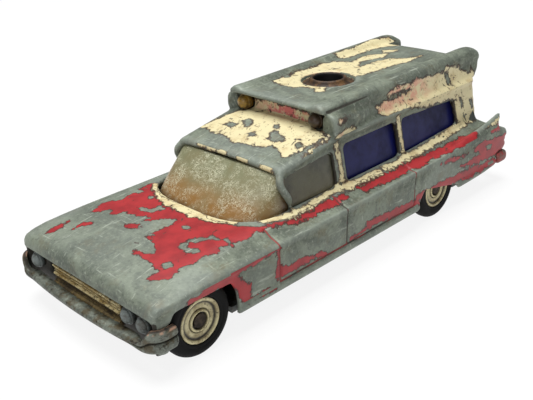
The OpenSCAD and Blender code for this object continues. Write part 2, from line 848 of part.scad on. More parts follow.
// Battery tray, open below over the hatch, with a spring contact hooked over each end wall
module battery_tray() {
    color("black")
        translate([cell_x, 0, base_top + 0.02])
            difference() {
                translate([-tray_half_x - tray_wall, -tray_half_y - tray_wall, 0])
                    cube([2 * (tray_half_x + tray_wall), 2 * (tray_half_y + tray_wall), tray_top - base_top]);
                translate([-tray_half_x, -tray_half_y, -1])
                    cube([2 * tray_half_x, 2 * tray_half_y, 20]);
            }
}
module dry_cell() {
    color("firebrick")
        translate([cell_x - cell_length / 2, 0, cell_z])
            rotate([0, 90, 0]) {
                cylinder(r = cell_r, h = cell_length - 1);
                cylinder(r = 2.2, h = cell_length);
            }
}
module cell_contact() {
    t = 0.4;
    inner = tray_half_x - lay - t;
    outer = tray_half_x + tray_wall + lay;
    color("gold") {
        translate([inner, -2.5, base_top + 0.4])
            cube([t, 5, tray_top + 0.5 - base_top]);
        translate([inner, -2.5, tray_top + 0.5])
            cube([outer + t - inner, 5, t]);
        translate([outer, -2.5, tray_top - 3])
            cube([t, 5, 3.5 + t]);
        translate([cell_length / 2 + run, -1.2, cell_z - 1.2])
            cube([inner - cell_length / 2, 2.4, 2.4]);
    }
}
module front_cell_contact() {
    translate([cell_x, 0, 0])
        cell_contact();
}
module rear_cell_contact() {
    translate([cell_x, 0, 0])
        mirror([1, 0, 0])
            cell_contact();
}

// Switch: a slider through the floor that closes on a leaf above it
module switch_slider() {
    color("ivory")
        translate([switch_x, switch_y, 0]) {
            translate([-knob[0] / 2, -knob[1] / 2, base_low - lay - 0.9])
                cube([knob[0], knob[1], 0.9]);
            translate([-1, -1, base_low - lay - 0.1])
                cube([2, 2, base_thick + 2 * lay + 0.2]);
            translate([-plate[0] / 2, -plate[1] / 2, base_top + lay])
                cube([plate[0], plate[1], 0.8]);
        }
}
module switch_contact() {
    low = base_top + lay + 0.8 + lay;
    foot = switch_x - plate[0] / 2 - 2;
    color("gold") {
        translate([foot, switch_y - 1.5, base_top + 0.02])
            cube([0.5, 3, low - base_top]);
        translate([foot, switch_y - 1.5, low])
            cube([switch_x + 1 - foot, 3, 0.35]);
    }
}
module battery_hatch() {
    color("dimgray")
        translate([cell_x, 0, base_low - lay - hatch_thick]) {
            translate([-hatch_half_x, -hatch_half_y, 0])
                cube([2 * hatch_half_x, 2 * hatch_half_y, hatch_thick]);
            translate([hatch_half_x - 3, -3, -0.5])
                cube([1.2, 6, 0.6]);
        }
}

// Suspension: a bowed leaf over each axle, its ends under the lugs of the ears
module leaf_spring(x) {
    half = ear_half - ear_thick - 0.2;
    low = axle_z + axle_r + run;
    high = lug_z - 0.06 - spring_thick;
    bow = [for (t = evenly(-1, 1, 16)) [t * half, mix(low, high, t * t)]];
    color("silver")
        translate([x - spring_width / 2, 0, 0])
            rotate([90, 0, 90])
                linear_extrude(spring_width)
                    polygon(concat(bow, reversed([for (p = bow) [p[0], p[1] + spring_thick]])));
}
module front_spring() leaf_spring(front_axle_x);
module rear_spring() leaf_spring(rear_axle_x);

// Axle: a plain rod with a peened head at each end
module axle(x) {
    color("sienna")
        translate([x, 0, axle_z])
            rotate([90, 0, 0]) {
                cylinder(r = axle_r, h = 2 * wheel_face - 0.8, center = true);
                for (s = [-1, 1])
                    translate([0, 0, s * (wheel_face - 0.55)])
                        cylinder(r = head_r, h = 0.5, center = true);
            }
}
module front_axle() axle(front_axle_x);
module rear_axle() axle(rear_axle_x);

// Wheel: a hub turned with a dish and a raised ring, and a tyre round it, with the outer face towards +Y
module hub(x, side) {
    r = hub_diameter / 2;
    bore = axle_r + run;
    face = wheel_face;
    seat = face - 0.95;
    color("khaki")
        translate([x, 0, axle_z])
            mirror([0, side < 0 ? 1 : 0, 0])
                rotate([-90, 0, 0])
                    rotate_extrude()
                        polygon([
                            [bore, ear_half + 0.2], [2, ear_half + 0.2], [2, tyre_inner + 0.5],
                            [r, tyre_inner + 0.5], [r, face - 0.3], [r - 0.3, face - 0.1],
                            [r - 0.8, face - 0.1], [r - 1, face - 0.5], [head_r + 0.9, face - 0.5],
                            [head_r + 0.8, face - 0.2], [head_r + 0.4, face - 0.2],
                            [head_r + 0.3, seat], [bore, seat]
                        ]);
}
// Half section of a tyre from its inner radius outwards, grown all round by grow
module tyre_outline(inner, grow) {
    r = axle_z + grow;
    round = tyre_round + grow;
    low = tyre_inner - grow;
    high = wheel_face + grow;
    polygon(concat(
        [[inner, low + 0.4], [inner + 0.5, low]],
        [for (a = [-90:15:0]) [r - round + round * cos(a), low + round + round * sin(a)]],
        [for (a = [0:15:90]) [r - round + round * cos(a), high - round + round * sin(a)]],
        [[inner + 0.5, high], [inner, high - 0.4]]
    ));
}
module tyre(x, side) {
    color("black")
        translate([x, 0, axle_z])
            mirror([0, side < 0 ? 1 : 0, 0])
                rotate([-90, 0, 0])
                    rotate_extrude()
                        tyre_outline(hub_diameter / 2 + 0.02, 0);
}
module front_left_hub() hub(front_axle_x, 1);
module front_right_hub() hub(front_axle_x, -1);
module rear_left_hub() hub(rear_axle_x, 1);
module rear_right_hub() hub(rear_axle_x, -1);
module front_left_tyre() tyre(front_axle_x, 1);
module front_right_tyre() tyre(front_axle_x, -1);
module rear_left_tyre() tyre(rear_axle_x, 1);
module rear_right_tyre() tyre(rear_axle_x, -1);

body_casting();
base_plate();
base_rivets();
front_bumper();
rear_bumper();
grille();
headlamps();
tail_lamps();
front_glazing();
rear_glazing();
left_roof_lamp();
right_roof_lamp();
lamp_socket();
socket_insulator();
lamp_contact();
lamp_lead();
battery_tray();
dry_cell();
front_cell_contact();
rear_cell_contact();
switch_slider();
switch_contact();
battery_hatch();
front_spring();
rear_spring();
front_axle();
rear_axle();
front_left_hub();
front_right_hub();
rear_left_hub();
rear_right_hub();
front_left_tyre();
front_right_tyre();
rear_left_tyre();
rear_right_tyre();
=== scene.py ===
# %% [markdown]
# # A worn die-cast toy ambulance
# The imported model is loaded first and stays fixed. It gives the bodies that move, the nodes that keep
# their solid shape and the box that the dressed model has to stay in. Sizes below are in millimetres,
# because a toy is measured in them, and each mesh is turned into metres when it is made.

# %% Load the frame
import bpy
import numpy as np
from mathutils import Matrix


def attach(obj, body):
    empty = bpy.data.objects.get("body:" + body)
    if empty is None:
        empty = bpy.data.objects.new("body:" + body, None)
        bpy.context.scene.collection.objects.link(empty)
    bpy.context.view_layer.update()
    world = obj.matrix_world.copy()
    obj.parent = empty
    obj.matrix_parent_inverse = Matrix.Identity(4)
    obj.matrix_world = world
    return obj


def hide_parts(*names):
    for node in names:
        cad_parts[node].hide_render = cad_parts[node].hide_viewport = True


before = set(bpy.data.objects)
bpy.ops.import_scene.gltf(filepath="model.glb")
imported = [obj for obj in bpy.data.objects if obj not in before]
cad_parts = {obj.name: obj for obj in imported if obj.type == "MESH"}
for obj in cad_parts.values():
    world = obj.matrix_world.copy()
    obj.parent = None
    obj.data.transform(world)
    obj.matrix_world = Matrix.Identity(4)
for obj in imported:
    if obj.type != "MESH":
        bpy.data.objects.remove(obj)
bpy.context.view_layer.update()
import openvdb as vdb
from mathutils import Matrix

MM = 0.001

# %% [markdown]
# ## The camera
# The view is the one of the photograph: from the front left corner, about 25 degrees above the level, with
# the picture rolled a little. An object is placed by its own three axes, which are the columns of its
# matrix, so no pointing helper is needed.

# %% Camera at the photograph's angle
EYE = np.array([110.06, 107.64, 79.16])
AZIMUTH, ELEVATION, ROLL = np.radians([136.48, 24.84, -3.12])
FOCAL_PIXELS, PICTURE_WIDTH, SENSOR = 760.2, 533, 36


def unit(direction):
    """The same direction with the length one."""
    return direction / np.linalg.norm(direction)


def placed(name, data, axes=np.eye(3), spot=(0, 0, 0)):
    """A new object in the scene; its own axes are the columns of a matrix, its origin a point in metres."""
    made = bpy.data.objects.new(name, data)
    pose = np.eye(4)
    pose[:3, :3], pose[:3, 3] = axes, spot
    made.matrix_world = Matrix(pose.tolist())
    bpy.context.scene.collection.objects.link(made)
    return made


back = np.array([np.sin(AZIMUTH) * np.cos(ELEVATION), -np.cos(AZIMUTH) * np.cos(ELEVATION), np.sin(ELEVATION)])
level = unit(np.cross([0.0, 0.0, 1.0], back))
upright = np.cross(back, level)
right = np.cos(ROLL) * level + np.sin(ROLL) * upright
up = np.cos(ROLL) * upright - np.sin(ROLL) * level
lens = bpy.data.cameras.new("photo_view")
lens.sensor_width, lens.lens, lens.clip_start = SENSOR, SENSOR * FOCAL_PIXELS / PICTURE_WIDTH, 0.005
bpy.context.scene.camera = placed("photo_view", lens, np.column_stack([right, up, back]), EYE * MM)
bpy.context.scene.view_settings.view_transform = "Standard"
print("lens", round(lens.lens, 2), "mm")

# %% [markdown]
# ## Shader sums as Python
# A finish is a graph of small nodes. Writing `mask * 0.5 + noise` reads better than twenty lines of
# links, so a wire is a thin wrapper round a socket whose operators add the Math nodes. Every other node
# comes from `Finish.node`, which sets a node's own settings first and then its sockets.

# %% A wire with operators, and a finish that makes nodes
class Wire:
    """An output socket of a finish; + - * and the named sums below add Math nodes."""

    def __init__(self, finish, socket):
        self.finish, self.socket = finish, socket

    def sum_with(self, operation, first, second):
        return self.finish.node("ShaderNodeMath", {"operation": operation}, {0: first, 1: second})

    def __add__(self, other):
        return self.sum_with("ADD", self, other)

    __radd__ = __add__

    def __mul__(self, other):
        return self.sum_with("MULTIPLY", self, other)

    __rmul__ = __mul__

    def __sub__(self, other):
        return self.sum_with("SUBTRACT", self, other)

    def __rsub__(self, other):
        return self.sum_with("SUBTRACT", other, self)

    def most(self, other):
        return self.sum_with("MAXIMUM", self, other)

    def least(self, other):
        return self.sum_with("MINIMUM", self, other)

    def size(self):
        return self.sum_with("ABSOLUTE", self, 0.0)

    def step(self, low, high):
        """0 below low, 1 above high and a smooth slope between them (low may be the larger)."""
        inputs = {"Value": self, "From Min": low, "From Max": high, "To Min": 0.0, "To Max": 1.0}
        return self.finish.node("ShaderNodeMapRange", {"interpolation_type": "SMOOTHSTEP"}, inputs)


class Finish:
    """A material made of nodes round one Principled shader."""

    def __init__(self, name):
        self.material = bpy.data.materials.new(name)
        self.material.use_nodes = True
        self.tree = self.material.node_tree
        self.tree.nodes.clear()
        self.shader = self.tree.nodes.new("ShaderNodeBsdfPrincipled")
        self.end = self.tree.nodes.new("ShaderNodeOutputMaterial")
        self.tree.links.new(self.shader.outputs[0], self.end.inputs[0])
        self.place = self.node("ShaderNodeTexCoord", out="Object")

    def feed(self, socket, value):
        """Links a wire to a socket, or sets a number, direction or colour on it."""
        if isinstance(value, Wire):
            self.tree.links.new(value.socket, socket)
        else:
            socket.default_value = (*value[:3], 1.0) if socket.type == "RGBA" else value

    def node(self, kind, settings=None, inputs=None, out=0):
        """A node of any type: its settings, then the values or wires of its sockets, then one output."""
        made = self.tree.nodes.new(kind)
        for key, value in (settings or {}).items():
            setattr(made, key, value)
        for key, value in (inputs or {}).items():
            self.feed(made.inputs[key], value)
        return Wire(self, made.outputs[out])

    def noise(self, scale, detail=4.0, rough=0.55, warp=0.0, place=None):
        """Cloudy noise round a half; a larger scale is finer, warp curls it."""
        inputs = {"Vector": place or self.place, "Scale": scale, "Detail": detail, "Roughness": rough,
                  "Distortion": warp}
        return self.node("ShaderNodeTexNoise", {"noise_dimensions": "3D"}, inputs)

    def stretched(self, turn, scale):
        """Object coordinates turned and stretched, for scratches that run one way."""
        return self.node("ShaderNodeMapping", {}, {"Vector": self.place, "Rotation": turn, "Scale": scale})

    def measured(self, name):
        """A number that the mesh carries at its points."""
        return self.node("ShaderNodeAttribute", {"attribute_name": name}, out="Fac")

    def height(self):
        """Height above the ground in metres."""
        return self.node("ShaderNodeSeparateXYZ", {}, {0: self.place}, "Z")

    def mixed(self, amount, first, second):
        """A colour between two colours or colour wires; sockets 6 and 7 are the colours of the node."""
        return self.node("ShaderNodeMix", {"data_type": "RGBA"}, {0: amount, 6: first, 7: second}, 2)

    def layered(self, base, *layers):
        """A colour under layers, each an amount and a colour; the last layer lies on top."""
        for amount, colour in layers:
            base = self.mixed(amount, base, colour)
        return base

    def bumped(self, height, distance):
        return self.node("ShaderNodeBump", {}, {"Height": height, "Distance": distance})

    def set(self, **values):
        """Values or wires for the shader's own sockets, spaces in their names written as underscores."""
        for key, value in values.items():
            self.feed(self.shader.inputs[key.replace("_", " ")], value)


def shade(red, green, blue):
    """A colour picked on a screen, 0 to 255, turned into the linear light that shaders use."""
    c = np.array([red, green, blue]) / 255
    return tuple(np.where(c <= 0.04045, c / 12.92, ((c + 0.055) / 1.055) ** 2.4).round(4).tolist())


print("shader kit ready; mid grey is", shade(128, 128, 128))

# %% [markdown]
# ## The studio
# A plain pale floor, white to the camera and to reflections, that still takes a soft shadow: most of what
# the camera sees of it is its own even white and the rest is lit paint. One broad lamp overhead and a weak
# one in front of the nose give the top faces their light, and the pale surroundings do the rest.

# %% Floor, surroundings and lamps
FLOOR_WHITE, FLOOR_REACH, ROOM_GLOW = 0.87, 9.0, 0.19
floor_finish = Finish("pale_floor")
floor_finish.set(Base_Color=(0.86, 0.86, 0.86), Roughness=0.8, Specular_IOR_Level=0.1)
rays = [floor_finish.node("ShaderNodeLightPath", out=f"Is {kind} Ray")
        for kind in ("Camera", "Glossy", "Transmission")]
seen = rays[0].most(rays[1]).most(rays[2])
glow = floor_finish.node("ShaderNodeEmission", {}, {"Color": (1, 1, 1), "Strength": 1.0})
lit = Wire(floor_finish, floor_finish.shader.outputs[0])
mostly_white = floor_finish.node("ShaderNodeMixShader", {}, {0: seen * FLOOR_WHITE, 1: lit, 2: glow})
floor_finish.feed(floor_finish.end.inputs[0], mostly_white)
floor_mesh = bpy.data.meshes.new("pale_floor")
floor_corners = [(x * FLOOR_REACH, y * FLOOR_REACH, 0) for x, y in ((-1, -1), (1, -1), (1, 1), (-1, 1))]
floor_mesh.from_pydata(floor_corners, [], [(0, 1, 2, 3)])
floor_mesh.materials.append(floor_finish.material)
floor = placed("pale_floor", floor_mesh)

sky = bpy.data.worlds.new("pale_room")
sky.use_nodes = True
background = sky.node_tree.nodes["Background"]
background.inputs["Color"].default_value = (1, 1, 1, 1)
room_rays = sky.node_tree.nodes.new("ShaderNodeLightPath")
room_light = sky.node_tree.nodes.new("ShaderNodeMapRange")
room_light.inputs["To Min"].default_value, room_light.inputs["To Max"].default_value = ROOM_GLOW, 1.0
sky.node_tree.links.new(room_rays.outputs["Is Camera Ray"], room_light.inputs["Value"])
sky.node_tree.links.new(room_light.outputs[0], background.inputs["Strength"])
bpy.context.scene.world = sky


def lamp(name, spot, aim, size, power):
    """A square soft lamp at a point, its face turned to another point."""
    data = bpy.data.lights.new(name, "AREA")
    data.size, data.energy = size, power
    away = unit(np.subtract(spot, aim))
    across = unit(np.cross([0.0, 1.0, 0.0], away))
    placed(name, data, np.column_stack([across, np.cross(away, across), away]), spot)


lamp("overhead_lamp", (0.02, -0.06, 0.75), (0, 0, 0), 0.5, 8.4)
lamp("nose_lamp", (0.7, 0.35, 0.4), (0, 0, 0.01), 0.4, 1.2)
print("floor, surroundings and two lamps")

# %% [markdown]
# ## Surfaces from numbers
# Most pieces are grids: a table of points with rows and columns, joined by four-sided faces. A lathe
# turns a profile round an axis, a shell joins an outer and an inner grid round their rims, and a swept
# bar carries a closed profile along a path. Each takes whole arrays, so no loop runs over vertices.

# %% Grids, lathes, shells and pieces
def grid_faces(rows, columns, ring=False, start=0):
    """Quads of a rows x columns table of points; ring joins the last column to the first."""
    i = np.arange(rows - 1)[:, None]
    j = np.arange(columns if ring else columns - 1)[None, :]
    k = (j + 1) % columns
    corners = [i * columns + j, i * columns + k, (i + 1) * columns + k, (i + 1) * columns + j]
    return np.stack(np.broadcast_arrays(*corners), -1).reshape(-1, 4) + start


def capped(points):
    """A table of closed rings made into a closed skin: quads between rings, a fan of triangles at each end."""
    rows, columns = points.shape[:2]
    flat = points.reshape(-1, 3)
    ends = np.stack([points[0].mean(0), points[-1].mean(0)])
    j = np.arange(columns)
    k = (j + 1) % columns
    first = np.stack([k, j, np.full(columns, len(flat))], -1)
    edge = (rows - 1) * columns
    last = np.stack([j + edge, k + edge, np.full(columns, len(flat) + 1)], -1)
    return np.concatenate([flat, ends]), grid_faces(rows, columns, True), np.concatenate([first, last])


def looped(points):
    """A table that closes on itself both ways, such as a tyre: quads all round and no ends."""
    rows, columns = points.shape[:2]
    wrapped = grid_faces(rows + 1, columns, True) % (rows * columns)
    return points.reshape(-1, 3), wrapped, np.zeros((0, 3), int)


def together(*skins):
    """Several skins as one: their points in a row, their faces counted on."""
    starts = np.cumsum([0] + [len(s[0]) for s in skins[:-1]])
    return [np.concatenate([s[0] for s in skins])] + [
        np.concatenate([s[k] + n for s, n in zip(skins, starts)]) for k in (1, 2)]


def turned(profile, centre, axis, segments=72):
    """A lathe: each (radius, height) of the profile goes round the axis; axis is the index of X, Y or Z."""
    profile = np.asarray(profile, float)
    angle = np.linspace(0, 2 * np.pi, segments, endpoint=False)
    along, one, two = axis, (axis + 1) % 3, (axis + 2) % 3
    points = np.zeros((len(profile), segments, 3))
    points[..., along] = profile[:, 1:]
    points[..., one] = profile[:, :1] * np.cos(angle)
    points[..., two] = profile[:, :1] * np.sin(angle)
    return points + np.asarray(centre, float)


def rounded_profile(corners, cuts=2):
    """Corner cutting: every edge keeps its middle half, so corners turn into short curves; ends stay."""
    line = np.asarray(corners, float)
    for _ in range(cuts):
        a, b = line[..., :-1, :], line[..., 1:, :]
        mids = np.stack([0.75 * a + 0.25 * b, 0.25 * a + 0.75 * b], -2)
        mids = mids.reshape(*mids.shape[:-3], -1, mids.shape[-1])
        line = np.concatenate([line[..., :1, :], mids, line[..., -1:, :]], -2)
    return line


def shell(outer, inner):
    """Two grids of one shape joined round their four rims into a closed skin."""
    rows, columns = outer.shape[:2]
    count = rows * columns
    front = grid_faces(rows, columns)
    behind = grid_faces(rows, columns, start=count)[:, ::-1]
    table = np.arange(count).reshape(rows, columns)
    rim = np.concatenate([table[0], table[1:, -1], table[-1, -2::-1], table[-2:0:-1, 0]])
    turn = np.roll(rim, -1)
    walls = np.stack([turn, rim, rim + count, turn + count], -1)
    points = np.concatenate([outer.reshape(-1, 3), inner.reshape(-1, 3)])
    return points, np.concatenate([front, behind, walls]), np.zeros((0, 3), int)


def piece(name, skin, finish, body, stands_for, attributes=None):
    """A named mesh object in metres that rides on a body, with smooth faces pointing outwards."""
    points, quads, triangles = skin
    mesh = bpy.data.meshes.new(name)
    mesh.from_pydata((np.asarray(points) * MM).tolist(), [], quads.tolist() + triangles.tolist())
    corners = np.asarray(points)[np.concatenate([quads[:, :3], quads[:, [0, 2, 3]], triangles])]
    volume = np.einsum("ij,ij->i", corners[:, 0], np.cross(corners[:, 1], corners[:, 2])).sum() / 6
    if volume < 0:
        mesh.flip_normals()
    mesh.polygons.foreach_set("use_smooth", np.ones(len(mesh.polygons), bool))
    for key, values in (attributes or {}).items():
        layer = mesh.attributes.new(key, "FLOAT", "POINT")
        layer.data.foreach_set("value", np.asarray(values, np.float32))
    mesh.materials.append(finish.material)
    mesh.update()
    made = placed(name, mesh)
    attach(made, body)
    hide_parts(*stands_for)
    print(f"{name}: {len(mesh.vertices)} points, {len(mesh.polygons)} faces, {abs(volume):.0f} cubic mm")
    return made


def creased(made, degrees):
    """Sharp edges stay sharp in the shading where two faces meet at more than this angle."""
    with bpy.context.temp_override(object=made, active_object=made, selected_editable_objects=[made]):
        bpy.ops.object.shade_smooth_by_angle(angle=np.radians(degrees), keep_sharp_edges=True)


print("surface kit ready")

# %% [markdown]
# ## The body as a distance field
# The body is one hollow casting with soft, worn edges and many openings. Skins alone would need every
# opening cut and every edge rounded by hand, so the skins are first turned into fields: at each point of
# a fine lattice, how far the skin is, negative inside. Fields join, cut and blend by taking the smaller
# or larger number, with a soft turn from one to the other, and the casting is where the result is zero.

# %% Named lines of the casting, in millimetres
NOSE, LIP, COWL, VISOR, CANOPY, CABIN_END, TAIL = 56.5, 54.0, 28.8, 18.3, 4.6, -48.8, -56.5
HALF_WIDTH, SILL, CREST, BELT, WALL = 22.0, 4.4, 14.9, 16.6, 1.2
BELT_HALF, GUTTER_HALF, VISOR_Z, GUTTER_Z, DECK_Z, FIN_Z = 16.2, 14.5, 24.2, 26.8, 32.25, 33.7
RAIL_HALF, RAIL_LOW, RAIL_FRONT, PILLAR, RECESS = 13.8, 30.2, 33.0, 16.8, 1.8
FRONT_PANEL, REAR_PANEL, LIP_Z, FIN_START, FIN_TIP = 52.6, -50.1, 11.0, -18.5, -52.5
FRONT_AXLE, REAR_AXLE, AXLE_Z, SOCKET = 44.2, -26.2, 7.0, -12.8
FACE, TYRE_INNER, TYRE_R, SHOULDER, HUB_R, TYRE_PLAY, TRAVEL = 20.65, 17.25, 7.0, 1.4, 4.3, 0.25, 0.5
HEAD_LAMPS, OPEN_SEAT, HEAD_Z = (-17.0, 12.6, 17.0), -12.6, 9.25
TAIL_LAMP, ROOF_LAMP = (19.1, 10.8), (10.4, 29.3)
BORE_R, SLEEVE_R, COLLAR_R, BOSS_R, SEAT_Z, FIT = 3.25, 3.95, 5.8, 7.0, 31.26, 0.12
PANE_ROUND, RAIL_CREASE = 0.9, 1.4


def mix(a, b, t):
    return a + (b - a) * t


def ramp(x, a, b):
    return np.clip((x - a) / (b - a), 0, 1)


def ease(x, a, b):
    """A smooth rise from 0 at a to 1 at b."""
    t = ramp(x, a, b)
    return t * t * (3 - 2 * t)


def rounded_edge(x, edge, r):
    """How far a face has dropped where it rounds over, with radius r, towards the line x = edge."""
    d = np.clip(x - edge + r, 0, r)
    return r - np.sqrt(r * r - d * d)


def half_sections(x, rows):
    """Rows of (y, z), each a number or a value per station, stacked to stations x points x 2."""
    return np.stack([np.stack(np.broadcast_arrays(y + 0 * x, z + 0 * x), -1) for y, z in rows], 1)


def plan_half(x):
    """Half the width of the lower body, drawn in at the nose and a little at the tail."""
    return HALF_WIDTH - 1.1 * ramp(x, LIP - 8, LIP) ** 3 - 0.7 * ramp(-x, -TAIL - 12, -TAIL) ** 2


def lower_body(x):
    """Left half of the lower body at each x: sill bead, door panel, side crease, wing crest, hood."""
    nose = ramp(x, COWL, LIP)
    fin = 3.8 * ramp(-x, -FIN_START, -FIN_TIP) ** 1.7
    y = plan_half(x)
    s = SILL + 1.2 * ramp(-x, -TAIL - 21, -TAIL) ** 2
    t = CREST + fin - 1.2 * nose ** 4 - rounded_edge(x, LIP, 1.6)
    c = mix(CREST, CREST - 1.4, ramp(x, -40, 40)) - 0.9 * nose ** 6 - rounded_edge(x, LIP, 1.2)
    d = BELT + 0.2 - 2.3 * nose ** 2.4 - rounded_edge(x, LIP, 1.8) - 1.2 * ramp(-x, -CABIN_END, -REAR_PANEL)
    step = mix(0.15, 0.5, ramp(x, COWL - 8.8, COWL - 1.8))
    return half_sections(x, [
        (y - 1, s), (y - 0.35, s + 0.5), (y - 0.2, s + 1.5), (y - 0.65, s + 2.1), (y - 0.5, s + 3.2),
        (y - mix(0.5, step, 0.5), c - 1.6), (y - step, c - 0.35), (y, c + 0.1), (y - 0.25, c + 0.55),
        (y - 0.9, t - 0.3), (y - 1.6, t), (y - 2.5, t + 0.15 - 0.8 * fin),
        (17.4, d - mix(0.15, 0.9, nose)), (11.5, d - mix(0.05, 0.35, nose)), (6, d - 0.08), (0, d)])


def gutter_line(x):
    return mix(GUTTER_Z, VISOR_Z, ramp(x, CANOPY - 1, VISOR))


def roof_line(x):
    t = ramp(x, CANOPY - 1, VISOR)
    return gutter_line(x) + 1.2 * mix(1, 0.4, t)


def cabin(x):
    """Left half of the cabin under the front roof, with the rain gutter along its edge."""
    z = gutter_line(x) - rounded_edge(x, VISOR, 0.7)
    r = roof_line(x) - rounded_edge(x, VISOR, 0.8)
    g = GUTTER_HALF
    return half_sections(x, [
        (BELT_HALF, BELT - 1.5), (BELT_HALF, BELT), (g + 0.1, z - 1), (g + 0.45, z - 0.7), (g + 0.4, z - 0.1),
        (g - 0.6, z + 0.35), (g * 0.66, mix(z, r, 0.8)), (0, r)])


def rail_top(x):
    """Height of the rails of the raised roof, which climb towards the fins."""
    return mix(RAIL_FRONT, FIN_Z, ramp(-x, 0, 46))


def canopy(x):
    """Left half of the raised roof: a leaning side, a fat rounded rail along its edge and a flat deck."""
    z = gutter_line(x)
    t = rail_top(x) - rounded_edge(x, CANOPY, 1)
    d = DECK_Z - rounded_edge(x, CANOPY, 0.7)
    g, w = GUTTER_HALF, RAIL_HALF
    return half_sections(x, [
        (g - 0.3, z - 0.6), (g - 0.5, z + 0.8), (w - 0.3, RAIL_LOW - 0.5), (w - 0.32, RAIL_LOW - 0.15),
        (w, RAIL_LOW + 0.1), (w, t - RAIL_CREASE), (w - 0.7, t - 0.4), (w - 2, t), (w - 3.2, t - 0.2),
        (w - 3.7, mix(t, d, 0.7)), (w - 4.3, d), (5, d + 0.08), (0, d + 0.12)])


def tub(x):
    """Left half of the hollow inside the lower body."""
    nose = ramp(x, COWL, LIP)
    y = plan_half(x) - 1.7
    d = BELT - 1 - 2.3 * nose ** 2.4 - 1.2 * ramp(-x, -CABIN_END, -REAR_PANEL)
    return half_sections(x, [(y, 0), (y, CREST - 2.6), (y - 1.2, CREST - 1.5),
                             (BELT_HALF, d - mix(0.2, 1, nose)), (10, d - 0.3), (0, d)])


def room(x):
    """Left half of the hollow inside the cabin."""
    b, g, z, r = BELT_HALF - WALL, GUTTER_HALF - WALL, gutter_line(x) - WALL, roof_line(x) - WALL
    return half_sections(x, [(b, BELT - 3), (b, BELT), (g, z - 0.9), (g - 0.9, z),
                             (g * 0.6, mix(z, r, 0.7)), (0, r)])


def attic(x):
    """Left half of the hollow inside the raised roof."""
    g = GUTTER_HALF - 1.7
    return half_sections(x, [(g, GUTTER_Z - 4), (g, GUTTER_Z + 1), (RAIL_HALF - 2, RAIL_LOW),
                             (RAIL_HALF - 3.4, DECK_Z - 1.5), (0, DECK_Z - 1.2)])


print("section of the lower body at the cowl:", lower_body(np.array([COWL]))[0].round(1).tolist()[:4], "...")

# %% [markdown]
# The lattice covers the casting with a margin. A skin becomes a field with the volume library that ships
# with Blender; flat outlines, rods and boxes have distances short enough to write out. The car is the same
# on both sides, so rods and boxes are measured with the distance from the middle plane.

# %% Lattice and fields
VOXEL = 0.38
FIRST = np.floor(np.array([-57.6, -23.4, 3.4]) / VOXEL).astype(int)
COUNT = np.ceil(np.array([115.2, 46.8, 32.0]) / VOXEL).astype(int)
X, Y, Z = np.meshgrid(*[(FIRST[k] + np.arange(COUNT[k], dtype=np.float32)) * VOXEL for k in range(3)],
                      indexing="ij", sparse=True)
side = np.abs(Y)
SPACING = vdb.createLinearTransform(voxelSize=VOXEL)
CORNER = tuple(int(k) for k in FIRST)


def skin_field(stations, section, cuts):
    """Distance to the closed skin over rounded cross-sections; stations run along x."""
    left = rounded_profile(section(stations), cuts)
    ring = np.concatenate([left, left[:, -2::-1] * [-1, 1]], 1)
    points = np.concatenate([np.broadcast_to(stations[:, None, None], (*ring.shape[:2], 1)), ring], -1)
    flat, quads, triangles = capped(points)
    grid = vdb.FloatGrid.createLevelSetFromPolygons(
        flat.astype(np.float32), triangles=triangles.astype(np.uint32), quads=quads.astype(np.uint32),
        transform=SPACING, halfWidth=6.0)
    field = np.empty(COUNT, np.float32)
    grid.copyToArray(field, ijk=CORNER)
    return field


def outline_field(corners, u, v):
    """Distance to a flat closed outline: nearest edge, negative where a ray crosses an odd number of edges."""
    a = np.asarray(corners, np.float32)
    b = np.roll(a, -1, 0)
    u, v = np.broadcast_arrays(u, v)
    u, v = u[..., None], v[..., None]
    du, dv = b[:, 0] - a[:, 0], b[:, 1] - a[:, 1]
    along = np.clip(((u - a[:, 0]) * du + (v - a[:, 1]) * dv) / (du * du + dv * dv), 0, 1)
    near = np.hypot(u - a[:, 0] - along * du, v - a[:, 1] - along * dv).min(-1)
    rising = (a[:, 1] <= v) != (b[:, 1] <= v)
    crossed = rising & (u < a[:, 0] + du * (v - a[:, 1]) / np.where(dv == 0, 1, dv))
    return np.where(crossed.sum(-1) % 2 == 1, -near, near)


def side_view(corners):
    """Distance to an outline drawn in the side view, the same all the way across the car."""
    return outline_field(corners, X[:, 0, :], Z[:, 0, :])[:, None, :]


def box_field(x0, x1, half, z0, z1):
    """Distance to a box across the middle plane, near enough for cutting: the largest of its face distances."""
    return np.maximum(np.maximum(np.maximum(x0 - X, X - x1), side - half), np.maximum(z0 - Z, Z - z1))


def rod_pair(a, b, ra, rb):
    """Distance to a rod with round ends and its mirror image; the radius goes from ra to rb."""
    a, b = np.array(a, np.float32), np.array(b, np.float32)
    d = b - a
    t = np.clip(((X - a[0]) * d[0] + (side - a[1]) * d[1] + (Z - a[2]) * d[2]) / (d @ d), 0, 1)
    away = [place - a[k] - t * d[k] for k, place in enumerate((X, side, Z))]
    return np.sqrt(away[0] ** 2 + away[1] ** 2 + away[2] ** 2) - mix(ra, rb, t)


def joined(a, b, soft):
    """Both solids, with a fillet of about this size where they meet."""
    h = np.maximum(soft - np.abs(a - b), 0)
    return np.minimum(a, b) - h * h / (4 * soft)


def without(a, b, soft):
    """The first solid less the second, its new edge rounded by about this size."""
    return -joined(-a, b, soft)


print("lattice", COUNT.tolist(), "points,", round(COUNT.prod() / 1e6, 1), "million")

# %% [markdown]
# The casting is put together in the order a pattern maker would: lower body, cabin and raised roof as one
# lump, hollowed from below, the windscreen pillars added, then windows, wheel arches, the recess at the
# nose and the outline of the tail cut from it.

